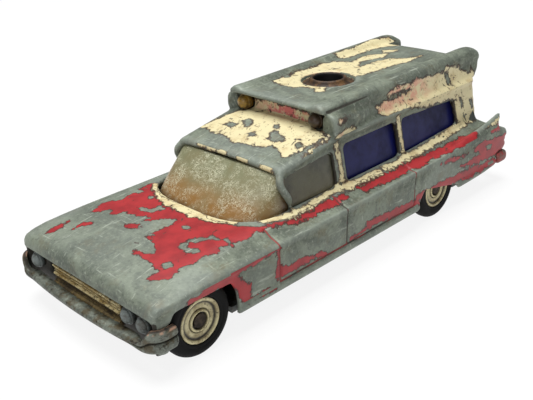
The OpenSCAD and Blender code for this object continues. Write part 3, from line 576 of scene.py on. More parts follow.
# %% Join and hollow the casting
GUTTER = [(17.6, 14.6, 23.5), (11.0, 14.8, 24.8), (3.4, 14.85, 26.1), (-47.8, 14.85, 26.1)]
PILLAR_KNOTS = [(17.7, 14.4, 23.35), (19.0, 15.35, 21.9), (17.4, 15.95, 19.0), (15.6, 15.6, 16.2)]
POD_RODS = [((4.0, 14.1, 28.2), (-9.0, 13.6, 28.1)), ((4.0, 14.0, 29.3), (-9.0, 13.4, 29.0))]
GUTTER_BEAD, PILLAR_R, POD_R, POD_TIP, POD_FACE = 0.5, 0.8, 1.95, 0.8, 3.3


def stations(first, tip, bend, count, steps):
    """Places of cross-sections along x: even steps, then close ones where the front edge rounds over."""
    curve = tip - bend * (1 - np.sin(np.linspace(0, np.pi / 2, steps)))
    return np.concatenate([np.linspace(first, tip - bend - 0.1, count), curve])


cast = skin_field(stations(TAIL, LIP, 1.8, 300, 18), lower_body, 1)
cast = joined(cast, skin_field(stations(CABIN_END, VISOR, 0.9, 140, 10), cabin, 1), 0.5)
raised = skin_field(stations(TAIL + 1.8, CANOPY, 1.0, 140, 10), canopy, 1)
raised = without(raised, box_field(RECESS, 9, RAIL_HALF - 1.6, GUTTER_Z - 1, DECK_Z - 1), 0.5)
raised = without(raised, box_field(RECESS + 0.5, 9, 20, GUTTER_Z - 1, DECK_Z - 1.1), 0.3)
pods = np.min([rod_pair(*ends, POD_R, POD_TIP) for ends in POD_RODS], 0)
cast = joined(cast, joined(raised, np.maximum(pods, X - POD_FACE), 0.15), 0.4)
for a, b in zip(GUTTER[:-1], GUTTER[1:]):
    cast = joined(cast, rod_pair(a, b, GUTTER_BEAD, GUTTER_BEAD), 0.25)
lump = cast
hollow = np.min([skin_field(np.linspace(first, last, count), section, 0) for first, last, count, section in (
    (REAR_PANEL + WALL, FRONT_PANEL - WALL, 60, tub), (CABIN_END + WALL, VISOR + 2, 60, room),
    (CABIN_END + 3 * WALL, RECESS - WALL, 40, attic))], 0)


def screen_plan(v, grow, angle):
    """Plan of the wrap-round windscreen: a squared-off half oval; v is 0 at the cowl and 1 at the roof."""
    start = PILLAR + 0.24
    front = mix(COWL - 0.2, VISOR - 0.1, v) + 1.1 * np.sin(np.pi * v) * (1 - v)
    w = mix(BELT_HALF - 0.55, GUTTER_HALF + 0.1, v) + grow
    power = 2 / 3.2
    x = start + (front - start + grow) * np.abs(np.cos(angle)) ** power
    return x, w * np.sign(angle) * np.abs(np.sin(angle)) ** power


plan = np.stack(screen_plan(0.0, 0.15, np.linspace(-np.pi / 2, np.pi / 2, 25)), -1)
under_screen = outline_field(plan, X[:, :, 0], Y[:, :, 0])[:, :, None]
hollow = np.minimum(hollow, np.maximum(under_screen, np.maximum(BELT - 3 - Z, Z - BELT - 3)))
cast = without(cast, hollow, 0.25)
cast = without(cast, box_field(PILLAR, 40, 22, BELT + 0.3, VISOR_Z - 1.1), 0.4)
bent = rounded_profile(PILLAR_KNOTS, 2)
cast = joined(cast, np.min([rod_pair(a, b, PILLAR_R, PILLAR_R) for a, b in zip(bent[:-1], bent[1:])], 0), 0.3)
well = np.hypot(X - SOCKET, Y)
cast = joined(cast, np.maximum(well - BOSS_R, np.abs(Z - 31.1) - 1.3), 0.5)
print("casting joined and hollowed")

# %% [markdown]
# Windows are outlines in the side view, grown so that their corners turn round. Over each wheel a room is
# kept free for the tyre all the way up its travel, but never through the outer wall.

# %% Windows and wheel arches
PANES = [[(4.3, 17.3), (15.6, 17.2), (15.5, 21.6), (4.3, 22.6)],
         [(-1.2, 17.3), (-16.9, 17.4), (-16.9, 23.1), (-1.2, 23.1)],
         [(-20.9, 17.4), (-39.6, 18.4), (-39.3, 22.4), (-20.9, 23.2)]]
BACK_LIGHT = [(-10, 19.2), (10, 19.2), (10, 22.8), (-10, 22.8)]
REAR_ARCH = np.array([(8.4, -2), (7.6, 6.5), (5.8, 8.8), (-3.8, 6.5), (-7.8, 5.6), (-9.8, -2)]) + [REAR_AXLE, 0]
FRONT_ARCH_R, FRONT_ARCH_TOP, ARCH_DEPTH = 7.6, 11.6, 18.3
for corners in PANES:
    cast = without(cast, np.maximum(side_view(corners) - PANE_ROUND, side - 18), 0.3)
back_light = outline_field(BACK_LIGHT, Y[0], Z[0])[None] - 1.2
cast = without(cast, np.maximum(back_light, np.abs(X - CABIN_END) - 4), 0.3)
wheel_room = np.full(COUNT, 9, np.float32)
lift = np.clip(Z - AXLE_Z, 0, TRAVEL)
past = np.abs(side - (TYRE_INNER + FACE) / 2) - ((FACE - TYRE_INNER) / 2 - SHOULDER)
for axle in (FRONT_AXLE, REAR_AXLE):
    over = np.hypot(X - axle, Z - AXLE_Z - lift) - (TYRE_R - SHOULDER)
    edge = np.hypot(np.maximum(over, 0), np.maximum(past, 0)) + np.minimum(np.maximum(over, past), 0)
    wheel_room = np.minimum(wheel_room, edge - (SHOULDER + TYRE_PLAY))
cast = without(cast, np.maximum(wheel_room, lump + 0.85), 0.3)
front_arch = np.maximum(np.hypot(X - FRONT_AXLE + 0.6, Z - AXLE_Z) - FRONT_ARCH_R, Z - FRONT_ARCH_TOP)
for arch in (front_arch, side_view(REAR_ARCH)):
    cast = without(cast, np.maximum(arch, ARCH_DEPTH - side), 0.4)
print(len(PANES), "panes a side and the wheel arches opened")

# %% [markdown]
# At the nose a recess under the lip of the hood holds the lamps and the grille, with a thin cheek left at
# each corner. At the tail the outline gives the fin tip, the notch, the lamp pod and the roof fins. The
# lamps and the collar of the roof lamp sit in bored seats.

# %% Nose, tail and seats
TAIL_SIDE = [(-61, 44), (-52.9, 44), (-52.7, 18.33), (-50.6, 15.4), (-55, 13.6), (-56.4, 11.9), (-56.4, 9.6),
             (-54.5, 8.05), (-54.5, 0), (-61, 0)]
ROOF_FIN = [(-60, 20), (-48.9, 20), (-49.7, 25.4), (-52.5, 28.6), (-53.4, 30.5), (-52.5, 32.1), (-50.9, 33.3),
            (-48.5, 33.8), (-48.5, 42), (-60, 42)]
FIN_GAP = [(-60, 19), (-48.7, 19), (-48.7, 25.8), (-46.9, 31.5), (-46.9, 42), (-60, 42)]
head_seat = np.hypot(Y - OPEN_SEAT, Z - HEAD_Z) - 1.5
roof_seat = np.hypot(side - ROOF_LAMP[0], Z - ROOF_LAMP[1])
roof_seat = np.minimum(roof_seat - 1.82, np.maximum(roof_seat - 0.92, X - 3))
tail_seat = np.hypot(side - TAIL_LAMP[0], Z - TAIL_LAMP[1]) - 1.62
for cut, soft in [
        (box_field(FRONT_PANEL, 62, 19.9, -1, LIP_Z), 0.35),
        (np.maximum(box_field(49.6, 62, 30, -1, 10.05), 20.85 - side), 0.3),
        (np.maximum(head_seat, np.abs(X - FRONT_PANEL) - 3), 0.3),
        (side_view(TAIL_SIDE), 0.5),
        (box_field(-60, REAR_PANEL, 16.4, 0, 25), 0.4),
        (box_field(-60, -50.9, 30, 0, 8.05), 0.3),
        (np.maximum(side_view(ROOF_FIN), side - 16.5), 0.5),
        (np.maximum(side_view(FIN_GAP), side - 9.1), 0.5),
        (np.maximum(well - (COLLAR_R + FIT), SEAT_Z - 0.06 - Z), 0.2),
        (np.maximum(well - (SLEEVE_R + FIT), np.abs(Z - 30) - 6), 0.2),
        (np.maximum(roof_seat, np.abs(X - 3.6) - 4.6), 0.15),
        (np.maximum(tail_seat, X + 54.6), 0.15)]:
    cast = without(cast, cut, soft)


def blurred(field):
    """Each value mixed with its neighbours along every axis, a quarter, a half and a quarter: softer edges."""
    for axis in range(3):
        wide = np.pad(field, [(1, 1) if k == axis else (0, 0) for k in range(3)], mode="edge")
        low, mid, high = (np.take(wide, range(s, s + field.shape[axis]), axis) for s in (0, 1, 2))
        field = (0.25 * low + 0.5 * mid + 0.25 * high).astype(np.float32)
    return field


cast = blurred(np.ascontiguousarray(cast, np.float32))
print("nose and tail shaped; deepest metal", round(float(-cast.min()), 2), "mm")

# %% [markdown]
# The casting is where the field is zero, and there it turns into a mesh. The slope of the field gives each
# point its outward direction, and a blurred copy tells hollows, darkened with dirt and painted shade, from
# rubbed edges.

# %% Turn the field into a skin
WING_GAP = 0.1
grid = vdb.FloatGrid()
grid.background = 3.0
grid.copyFromArray(cast, ijk=CORNER)
grid.transform = SPACING
body_points, body_triangles, body_quads = grid.convertToPolygons(isovalue=0.0, adaptivity=0.0)
body_points = body_points.astype(float)


def sampled(field, points):
    """Field values at points between lattice points, weighted by nearness along each axis."""
    spot = points / VOXEL - FIRST
    spot = np.clip(spot, 0, np.array(field.shape) - 1.001)
    base = spot.astype(int)
    part = spot - base
    total = 0
    for corner in np.ndindex(2, 2, 2):
        weight = np.prod(np.where(np.array(corner) == 1, part, 1 - part), -1)
        total = total + weight * field[tuple((base + corner).T)]
    return total


slopes = np.gradient(cast, VOXEL)
body_normals = np.stack([sampled(s, body_points) for s in slopes], -1)
body_normals /= np.maximum(np.linalg.norm(body_normals, axis=-1, keepdims=True), 1e-9)
inside = (sampled(hollow, body_points) < 0.3) & (sampled(lump, body_points) < -0.45)
room_left = sampled(wheel_room, body_points)
under_wing = (room_left < WING_GAP) & (sampled(lump, body_points) < -0.25)
push = np.stack([sampled(s, body_points[under_wing]) for s in np.gradient(wheel_room, VOXEL)], -1)
body_points[under_wing] += push * (WING_GAP - room_left[under_wing])[:, None]
soft_cast = cast
for _ in range(6):
    soft_cast = blurred(soft_cast)
hollowness = -sampled(soft_cast, body_points)
print(len(body_points), "points,", len(body_quads), "quads, of which inside:", int(inside.sum()), "points")

# %% [markdown]
# ## What is left of the paint
# The lower body was red and the upper body cream, and most of both has flaked off. The outlines of what is
# left were placed on the photograph, so a point is a place in the picture: pixels across and down.
# Points marked MM are in millimetres on the face: they were moved there one by one, or the outline was drawn
# there anew. The hood, roofs and deck are drawn from above, doors and posts from the side, the brow and
# the lip from the front. Chips are holes in patches.

# %% Outlines of the paint patches
RED = {
    "top": [
        [(157, 181), (150, 184), (140, 189), (130, 194), (123, 199), (108, 202), (101, 205), (89, 213),
         (100, 212), (108, 209), (113, 210), (112, 213), (116, 215), (124, 210), (132, 215), (138, 213),
         (135, 216), (146, 216), (150, 218), (142, 221), (160, 219), (172, 217), (180, 220), (170, 226),
         (158, 231), (151, 233), (160, 236), (147, 237), (155, 244), (157, 251), (152, 255), (143, 253),
         (134, 249), (131, 250), (143, 259), (153, 266), (161, 271), (150, 279), (153, 281), (162, 279),
         (170, 280), (174, 273), (184, 267), (197, 262), (198, 258), (210, 254), (220, 250), (217, 247),
         (232, 245), (224, 241), (228, 238), (232, 241), (248, 240), (252, 233), (270, 228), (286, 221),
         (280, 221), (262, 226), (240, 227), (222, 223), (210, 219), (195, 209), (176, 201), (160, 195),
         (156, 189)],
        [(45, 234), (52, 228), (60, 224), (69, 221), (62, 227), (52, 232)],
        [(73, 229), (80, 224), (91, 221), (92, 224), (80, 227)],
        [(126, 226), (134, 224), (140, 226), (138, 229)],
        [(134, 243), (138, 242), (138, 245)],
        [(300, 211), (317, 204), (338, 196), (343, 192), (348, 198), (340, 204), (329, 208), (314, 215),
         (300, 222)],
        [(286, 222), (300, 215), (300, 221), (290, 226)],
        [(356, 186), (372, 176), (395, 169), (410, 160), (427, 154), (445, 146), (462, 137), (476, 131),
         (478, 139), (-34.5, 22, MM), (-29.5, 21.2, MM), (-23.6, 20.3, MM), (-20.4, 21, MM),
         (-16.4, 20.2, MM), (-12.1, 20.4, MM), (-6.4, 20.1, MM), (-1.1, 19.9, MM)],
    ],
    "side": [
        [(222, 277), (232, 274), (238, 272), (237, 280), (246, 282), (251, 287), (253, 297), (246, 303),
         (241, 296), (240, 290), (228, 293), (220, 291)],
        [(47.8, 12, MM), (46.4, 13.2, MM), (45.2, 12.6, MM), (43.4, 13.8, MM), (40, 14, MM),
         (37, 13.6, MM), (35.4, 11.8, MM), (37.6, 11.3, MM), (40.6, 12.2, MM), (42.2, 11.5, MM),
         (45.2, 11.7, MM)],
        [(250, 298), (262, 293), (278, 286), (276, 290), (255, 299), (249, 303)],
        [(281, 276), (281, 268), (290, 265), (305, 258), (327, 252), (327, 256), (310, 262), (300, 267),
         (290, 273)],
        [(350, 240), (358, 234), (374, 222), (374, 226), (364, 233), (356, 239)],
        [(366, 222), (387, 214), (407, 205), (419, 200), (421, 204), (401, 214), (387, 220), (369, 227)],
        [(440, 165), (453, 157), (468, 154), (462, 159), (450, 162)],
        [(475, 149), (485, 141), (500, 137), (508, 134), (509, 146), (502, 153), (491, 157), (479, 163),
         (462, 166), (471, 160), (482, 154)],
        [(485, 130), (492, 124), (500, 122), (500, 130), (492, 133)],
        [(427, 191), (442, 182), (456, 176), (471, 169), (485, 163), (502, 157), (491, 166), (473, 175),
         (462, 180), (450, 186), (439, 189), (427, 198), (417, 201), (419, 193)],
    ],
}
RED_CHIPS = {
    "top": [
        [(133, 192), (141, 189), (146, 190), (140, 194)],
        [(138, 207), (150, 208), (164, 205), (168, 209), (152, 213), (140, 211)],
        [(178, 243), (195, 238), (213, 235), (220, 240), (206, 241), (190, 244), (187, 247), (199, 249),
         (202, 252), (188, 254), (179, 249)],
        [(182, 226), (190, 225), (194, 228), (188, 230)],
        [(162, 264), (170, 262), (172, 266), (163, 268)],
        [(146, 197), (152, 195), (153, 199)],
    ],
    "side": [
        [(486, 146), (492, 144), (492, 150), (487, 151)],
    ],
}
CREAM = {
    "top": [
        [(25.2, -14.8, MM), (28, -12.8, MM), (30, -9, MM), (30.5, -7, MM), (31.6, -4.3, MM),
         (31.2, -2.7, MM), (32, -0.4, MM), (31.4, 1.8, MM), (31.8, 3.6, MM), (30.8, 5.2, MM),
         (31, 7.6, MM), (30.1, 9.6, MM), (29.6, 10.8, MM), (28, 12.6, MM), (27.2, 11, MM),
         (28.2, 5, MM), (28.2, -4, MM), (26.6, -9.8, MM), (24.6, -12.8, MM)],
    ],
    "roof": [
        [(195, 129), (205, 128), (213, 132), (229, 138), (232, 142), (245, 144), (253, 147), (266, 147),
         (274, 145), (279, 153), (284, 158), (297, 153), (308, 147), (324, 137), (3.2, 10.7, MM),
         (1.2, 8, MM), (1, 3.1, MM), (1, -4, MM), (1, -9.1, MM), (3.6, -11, MM), (221, 117), (208, 123)],
        [(304, 160), (312, 154), (330, 142), (330, 136), (318, 142), (306, 151)],
        [(333, 139), (340, 130), (352, 122), (352, 130), (342, 140)],
    ],
    "deck": [
        [(-4.6, -9.2, MM), (-11.7, -9.6, MM), (-17.7, -9.4, MM), (-22, -9.7, MM), (-24, -8.6, MM),
         (-25.1, -8.9, MM), (345, 63), (354, 64), (360, 63), (358, 74), (365, 74), (362, 77), (350, 80),
         (342, 85), (326, 90), (324, 94), (315, 94), (-5.4, 2.5, MM), (-5, -0.6, MM), (-3.4, -1.8, MM),
         (-3.2, -4.4, MM), (-4, -7.4, MM)],
        [(360, 68), (375, 63), (390, 60), (405, 60), (422, 57), (410, 63), (390, 68), (375, 73),
         (362, 77), (357, 74)],
        [(-27.6, -11.4, MM), (-31.2, -11, MM), (-35, -10.9, MM), (-39, -11.4, MM), (-42.6, -11.8, MM),
         (376, 45), (390, 42), (401, 42), (401, 47), (-43.3, -7.2, MM), (-39.6, -8.4, MM),
         (-33.2, -8.4, MM), (-31, -7.9, MM), (-28.5, -8.6, MM)],
        [(352, 63), (362, 58), (372, 56), (388, 55), (384, 59), (372, 61), (360, 64), (354, 66)],
        [(382, 52), (397, 51), (397, 53), (384, 54)],
    ],
    "upper": [
        [(376, 113), (375, 106), (380, 103), (389, 99), (397, 96), (404, 93), (411, 89), (408, 88),
         (398, 91), (389, 97), (385, 95), (388, 90), (396, 86), (404, 84), (414, 79), (430, 75),
         (441, 71), (444, 67), (458, 65), (462, 71), (468, 72), (470, 66), (472, 71), (471, 82),
         (474, 95), (477, 108), (470, 112), (460, 110), (459, 105), (457, 98), (440, 100), (430, 104),
         (421, 108), (419, 104), (413, 102), (404, 105), (401, 109), (390, 112), (381, 115)],
        [(3.6, 25.6, MM), (-3.4, 25.7, MM), (-4.6, 26.9, MM), (-2.2, 27.5, MM), (2, 27.2, MM)],
        [(2.6, 29.3, MM), (-1.8, 29.4, MM), (-2.6, 30, MM), (1.6, 30.1, MM)],
    ],
    "cabin": [
        [(-21.5, 26.6, MM), (-30, 26.6, MM), (-48.8, 26.6, MM), (475, 105), (480, 117),
         (-42.6, 16.6, MM), (-40.4, 18.6, MM), (-40.2, 23.2, MM), (-38, 24, MM), (-30, 24.3, MM),
         (-26.6, 25, MM)],
    ],
    "brow": [
        [(248, 97), (-5.9, 30.3, MM), (2.3, 30.2, MM), (7.6, 30, MM), (8.4, 28.4, MM), (7.4, 26.4, MM),
         (2.1, 25, MM), (-3.8, 25, MM), (-8.4, 26, MM), (-11.2, 28.2, MM)],
        [(-2, 31.4, MM), (4, 31.3, MM), (3.2, 32.4, MM), (-0.6, 32.6, MM)],
    ],
}
CREAM_CHIPS = {
    "roof": [
        [(224, 124), (230, 122), (237, 124), (232, 127)],
        [(243, 121), (248, 119), (253, 122), (250, 127), (244, 126)],
        [(248, 133), (254, 132), (256, 136), (250, 137)],
        [(269, 134), (274, 131), (281, 134), (283, 140), (275, 143), (270, 140)],
        [(273, 125), (278, 124), (279, 128), (274, 128)],
        [(294, 144), (300, 142), (303, 146), (297, 149)],
    ],
    "deck": [
        [(283, 77), (291, 77), (292, 79), (284, 79)],
        [(303, 86), (315, 84), (314, 87), (305, 88)],
    ],
    "upper": [
        [(443, 72), (447, 71), (448, 84), (445, 84)],
    ],
    "cabin": [
        [(-42.4, 23.6, MM), (-43.3, 23.5, MM), (-43.9, 21, MM), (-43, 21, MM)],
        [(-46.6, 21.8, MM), (-47.4, 21.7, MM), (-48, 19.8, MM), (-47.2, 19.7, MM)],
    ],
}
RED_LINES = {
    "side": [
        [(188, 296), (210, 285), (235, 272), (265, 257), (280, 248)],
        [(279, 248), (279, 280)],
    ],
}
CREAM_LINES = {
    "top": [
        [(158, 184), (162, 192), (172, 199), (185, 206), (197, 212), (210, 217), (222, 221), (232, 222)],
        [(264, 220), (278, 217), (292, 214)],
        [(296, 211), (308, 205)],
        [(313, 201), (329, 192), (340, 187)],
        [(346, 186), (362, 178), (378, 170)],
        [(386, 167), (401, 159), (420, 149), (440, 138), (456, 128), (470, 120)],
    ],
    "cabin": [
        [(2, 24.6, MM), (1.6, 16, MM)],
        [(399, 118), (401, 156)],
        [(393, 150), (384, 168)],
    ],
    "lip": [
        [(198, 143), (202, 144)],
        [(208, 147), (211, 148)],
        [(218, 150), (222, 152)],
        [(238, 158), (244, 160)],
        [(262, 167), (268, 171)],
    ],
}

# %% [markdown]
# A ray from the camera through a place in the picture meets the face that the paint lies on. Most faces
# are near enough to a plane. The hood and the front roof are curved, so there the ray is followed in short
# steps until it is below the surface, whose height is read off the sections of the casting.

# %% Carry the outlines to the faces
PICTURE_HEIGHT, HIGHEST, LOWEST, REACH = 400, 30, 8, np.arange(60, 300, 0.05)
PLANES = {"deck": (2, 31.95), "side": (1, 21.7), "cabin": (1, 15.2), "upper": (1, 13.3),
          "brow": (0, 1.9), "lip": (0, 18.4)}


def section_height(rows, y):
    """Height at a distance y from the middle, on straight lines between rows of (y, z) that run inwards."""
    y, z = np.abs(y), rows[:, 0, 1]
    for k in range(rows.shape[1] - 1):
        (ya, za), (yb, zb) = rows[:, k].T, rows[:, k + 1].T
        z = np.where(y <= ya, mix(za, zb, np.clip((ya - y) / (ya - yb), 0, 1)), z)
    return z


def hood_height(x, y):
    """Height of the lower body seen from above: its section from the edge of the wing to the middle."""
    rows = lower_body(x)[:, 9:]
    edge = np.stack([rows[:, 0, 0] + 0.9, rows[:, 0, 1] - 0.6], -1)
    return section_height(np.concatenate([edge[:, None], rows], 1), y)


def roof_height(x, y):
    """Height of the front roof seen from above, from the gutter to the middle."""
    z, r = gutter_line(x), roof_line(x)
    rows = half_sections(x, [(14.9, z - 0.6), (13.9, z + 0.3), (9.6, mix(z, r, 0.8)), (0, r)])
    return section_height(rows, y)


def on_face(face, point):
    """The two coordinates on a face, to a tenth of a millimetre, of a point of an outline."""
    if len(point) == 3:
        return point[:2]
    across, down = np.subtract(point, (PICTURE_WIDTH / 2, PICTURE_HEIGHT / 2)) / FOCAL_PIXELS
    ray = unit(across * right - down * up - back)
    if face in PLANES:
        axis, value = PLANES[face]
        return np.delete(EYE + ray * (value - EYE[axis]) / ray[axis], axis).round(1)
    near, far = (EYE[2] - HIGHEST) / -ray[2], (EYE[2] - LOWEST) / -ray[2]
    steps = REACH[(REACH > near) & (REACH < far)]
    path = EYE + steps[:, None] * ray
    height = (hood_height if face == "top" else roof_height)(path[:, 0], path[:, 1])
    return path[np.argmax(path[:, 2] <= height), :2].round(1)


def carried(table):
    """A table of outlines with every point on its face, in millimetres."""
    return {face: [[on_face(face, point) for point in outline] for outline in outlines]
            for face, outlines in table.items()}


RED, RED_CHIPS, RED_LINES = carried(RED), carried(RED_CHIPS), carried(RED_LINES)
CREAM, CREAM_CHIPS, CREAM_LINES = carried(CREAM), carried(CREAM_CHIPS), carried(CREAM_LINES)
print("patches:", sum(len(v) for t in (RED, CREAM) for v in t.values()))

# %% [markdown]
# A patch is stored on the skin as a distance in millimetres, positive inside it and negative outside, so
# the finish can put the edge anywhere between points of the mesh and make it ragged. Which drawing a
# point takes part in depends on the way its surface faces. The far side takes the near side's side view
# moved along, since a photograph shows only one side.

# %% Distances to the paint edges
def patch_depth(patches, u, v):
    """Largest distance inside any outline; negative outside all of them."""
    depth = np.full(u.shape, -9.0)
    for corners in patches:
        a = np.asarray(corners)
        near = np.flatnonzero((u > a[:, 0].min() - 3) & (u < a[:, 0].max() + 3)
                              & (v > a[:, 1].min() - 3) & (v < a[:, 1].max() + 3))
        depth[near] = np.maximum(depth[near], -outline_field(a, u[near], v[near]))
    return depth


def line_depth(lines, u, v, half):
    """The same for lines of a width: half the width less the distance to the nearest piece of a line."""
    depth = np.full(u.shape, -9.0)
    for corners in lines:
        for (ua, va), (ub, vb) in zip(corners[:-1], corners[1:]):
            du, dv = ub - ua, vb - va
            t = np.clip(((u - ua) * du + (v - va) * dv) / (du * du + dv * dv), 0, 1)
            depth = np.maximum(depth, half - np.hypot(u - ua - t * du, v - va - t * dv))
    return depth


px, py, pz = body_points.T
ny, nz = body_normals.T[1:]
low_part, far_side = pz < 17.6, py < -2
ledge = np.where((px > -4) | (pz < 28.6), 0.97, 0.55)
FACES = {
    "top": (low_part & (nz > 0.3) & (np.abs(ny) < 0.96), px, py),
    "side": (low_part & (nz <= 0.3), px, pz),
    "roof": ((pz > 22.5) & (pz < 29) & (px > 1.6) & (nz > 0.35), px, py),
    "deck": ((pz > 30.6) & (nz > 0.5), px, py),
    "upper": ((pz > 26.3) & (px < 3.2) & (nz <= ledge) & (np.abs(ny) > 0.2), px, pz),
    "cabin": ((pz > 16) & (pz < 26.5) & (nz <= 0.5), px, pz),
    "brow": ((pz > 25.5) & (px > 0) & (px < 3.6) & (nz < 0.6), py, pz),
    "lip": ((px > 17) & (pz > 22) & (nz < 0.8), py, pz)}
POST_LINE = 0.75


def paint(patches, chips, lines, half, shift):
    """Distance into the paint at every point of the skin, face by face."""
    total = np.full(len(px), -9.0)
    for key, (chosen, u, v) in FACES.items():
        u, v = u[chosen], v[chosen]
        if key in ("side", "upper", "cabin"):
            u = np.where(far_side[chosen], u + shift, u)
        elif key == "top":
            shelf = (v < -15.5) & (u < 20)
            u, v = np.where(shelf, u + shift, u), np.where(shelf, -v, v)
        width = half * (POST_LINE if key == "cabin" else 1)
        depth = np.maximum(patch_depth(patches.get(key, []), u, v), line_depth(lines.get(key, []), u, v, width))
        depth = np.minimum(depth, -patch_depth(chips.get(key, []), u, v))
        total[chosen] = np.maximum(total[chosen], depth)
    return total


red = paint(RED, RED_CHIPS, RED_LINES, 0.22, 3.5)
cream = paint(CREAM, CREAM_CHIPS, CREAM_LINES, 1.0, -4.0)
print("red on", int((red > 0).sum()), "points, cream on", int((cream > 0).sum()))

# %% [markdown]
# Door lines and the crease under the rails are grooves: points near a line are pressed in along their
# outward direction. Painted shade darkens the recess of the nose under the hood lip and the reveals round
# the panes, and pink shows where cream was laid over red.

# %% Grooves, painted shade and stains
DOORS, DOOR_FOOT = VOXEL * np.array([67.5, 17.5, -42.5]), VOXEL * 17.5
GROOVE_DEPTH, GROOVE_HALF, NO_GROOVE = 0.3, 0.36, 3.0
from_middle = np.abs(py)
doors = np.min([np.abs(px - d) for d in DOORS], 0)
seam = np.where(low_part & (from_middle > 17.6) & (pz > DOOR_FOOT) & ~inside, doors, NO_GROOVE)
foot = (px < DOORS[0]) & (px > DOORS[2]) & (from_middle > 20) & ~inside
seam = np.where(foot, np.minimum(seam, np.abs(pz - DOOR_FOOT)), seam)
crease = rail_top(px) - RAIL_CREASE
on_rail = (from_middle > 12.6) & (pz > 30.4) & (px < 3.6) & (px > -49)
seam = np.where(on_rail, np.maximum(np.abs(pz - crease) - 0.1, 0) + 0.4 * ease(-px, 2, 18), seam)
body_points -= body_normals * (GROOVE_DEPTH * np.clip(1 - seam / GROOVE_HALF, 0, 1))[:, None]
# painted shade in the recess of the nose under the hood lip, then in the reveals round the panes on the posts
painted_shade = ease(px, 51.0, 52.4) * ease(-px, -54.2, -53.4) * ease(-pz, -11.6, -10.9) * (from_middle < 20.6)
pane_edge = np.min([outline_field(corners, px, pz) for corners in PANES], 0) - PANE_ROUND
on_post = (from_middle > 13) & (pz < 25.5) & (np.abs(nz) < 0.5) & ~inside
painted_shade = np.maximum(painted_shade, 0.75 * ease(-pane_edge, -0.75, -0.15) * on_post)
pink = np.where(FACES["brow"][0], 0.35 + ease(py, -7, 0) * ease(-py, -12.5, -6), 0)
stained = 0.55 * ease(-px, 10, 14) * ease(px, -36, -26) * ease(pz, 26, 28)
pink = np.where(FACES["upper"][0] & ~FACES["brow"][0], stained, pink)
print("grooves at", int((seam < GROOVE_HALF).sum()), "points")

# %% [markdown]
# Bare zinc is grey-green, cloudy and scratched; dark in hollows with dirt and painted shade, and paler on
# rubbed edges. Paint has a ragged edge with a thin dark line where the layer broke, and stands a little proud
# of the metal.

# %% Finish of the casting
skin = Finish("worn_casting")


def ragged(coarse, warp, wide, fine, narrow):
    """Two sizes of noise, in millimetres, that move the edge of a paint patch to and fro."""
    return (skin.noise(coarse, 6.0, 0.68, warp) - 0.5) * wide + (skin.noise(fine, 5.0, 0.65) - 0.5) * narrow


def flaked(scale, warp, limit):
    """Spots where paint came off inside a patch: negative where a noise is above the limit."""
    return (skin.noise(scale, 5.0, 0.62, warp) - limit) * -6.0


red_at = (skin.measured("red") + ragged(330.0, 0.5, 3.0, 950.0, 1.9) + 0.15).least(flaked(460.0, 1.0, 0.69))
cream_at = (skin.measured("cream") + ragged(380.0, 0.8, 2.6, 1050.0, 1.7)).least(flaked(400.0, 1.2, 0.68))
red_mask, cream_mask = red_at.step(-0.04, 0.05), cream_at.step(-0.04, 0.05)
coat = red_mask.most(cream_mask)
rim = (1 - red_at.size().step(0.05, 0.24)).most(1 - cream_at.size().step(0.1, 0.42))
rim = rim * skin.noise(900.0).step(0.3, 0.46)
cloud = skin.noise(130.0, 6.0, 0.7, 0.7).step(0.37, 0.63)
speckle = skin.noise(1500.0, 4.0, 0.7)
along = skin.noise(60.0, 3.0, 0.6, 0.0, skin.stretched((0, 0, 0.5), (2.2, 26.0, 14.0)))
across = skin.noise(60.0, 3.0, 0.6, 0.0, skin.stretched((0, 0.2, -0.7), (26.0, 2.5, 10.0)))
scratch = along.step(0.6, 0.7).most(across.step(0.63, 0.72))
metal = skin.layered(
    shade(84, 91, 80), (cloud, shade(117, 125, 109)), (speckle.step(0.5, 0.74) * 0.55, shade(150, 155, 140)),
    (speckle.step(0.46, 0.28) * 0.65, shade(56, 58, 49)), (scratch * 0.6, shade(166, 172, 158)),
    (skin.noise(240.0, 5.0, 0.7).step(0.52, 0.7) * 0.5, shade(98, 88, 60)))
red_paint = skin.mixed(skin.noise(330.0, 4.0).step(0.38, 0.68), shade(160, 40, 43), shade(138, 32, 36))
cream_paint = skin.layered(
    shade(211, 200, 158), (skin.noise(280.0, 5.0, 0.65).step(0.5, 0.72) * 0.6, shade(166, 138, 90)),
    (skin.measured("pink") * skin.noise(420.0, 5.0, 0.7).step(0.4, 0.58), shade(206, 108, 104)),
    (skin.noise(900.0, 5.0, 0.7).step(0.58, 0.65) * 0.8, shade(98, 68, 46)))
hollow_at = skin.measured("hollowness")
# dirt and painted shade in hollows: the more hollow the blurred field says a point is, the darker it is
hollow_dirt_and_shade = hollow_at.step(0.02, 0.2) * (0.55 + speckle * 0.6)
rubbed = (hollow_at * -1.0).step(0.06, 0.24) * (1 - coat)
line = 1 - skin.measured("seam").step(0.1, 0.26)
below_belt = skin.height().step(0.0185, 0.0175)
groove = skin.mixed(skin.noise(140.0).step(0.45, 0.55) * below_belt, shade(60, 54, 48), shade(150, 40, 44))
# painted shade: the nose recess under the lip and the pane reveals go near black
painted_shade_mask = (skin.measured("painted_shade") * 1.5 - skin.noise(520.0, 5.0, 0.7) * 0.9).step(0.0, 0.5)
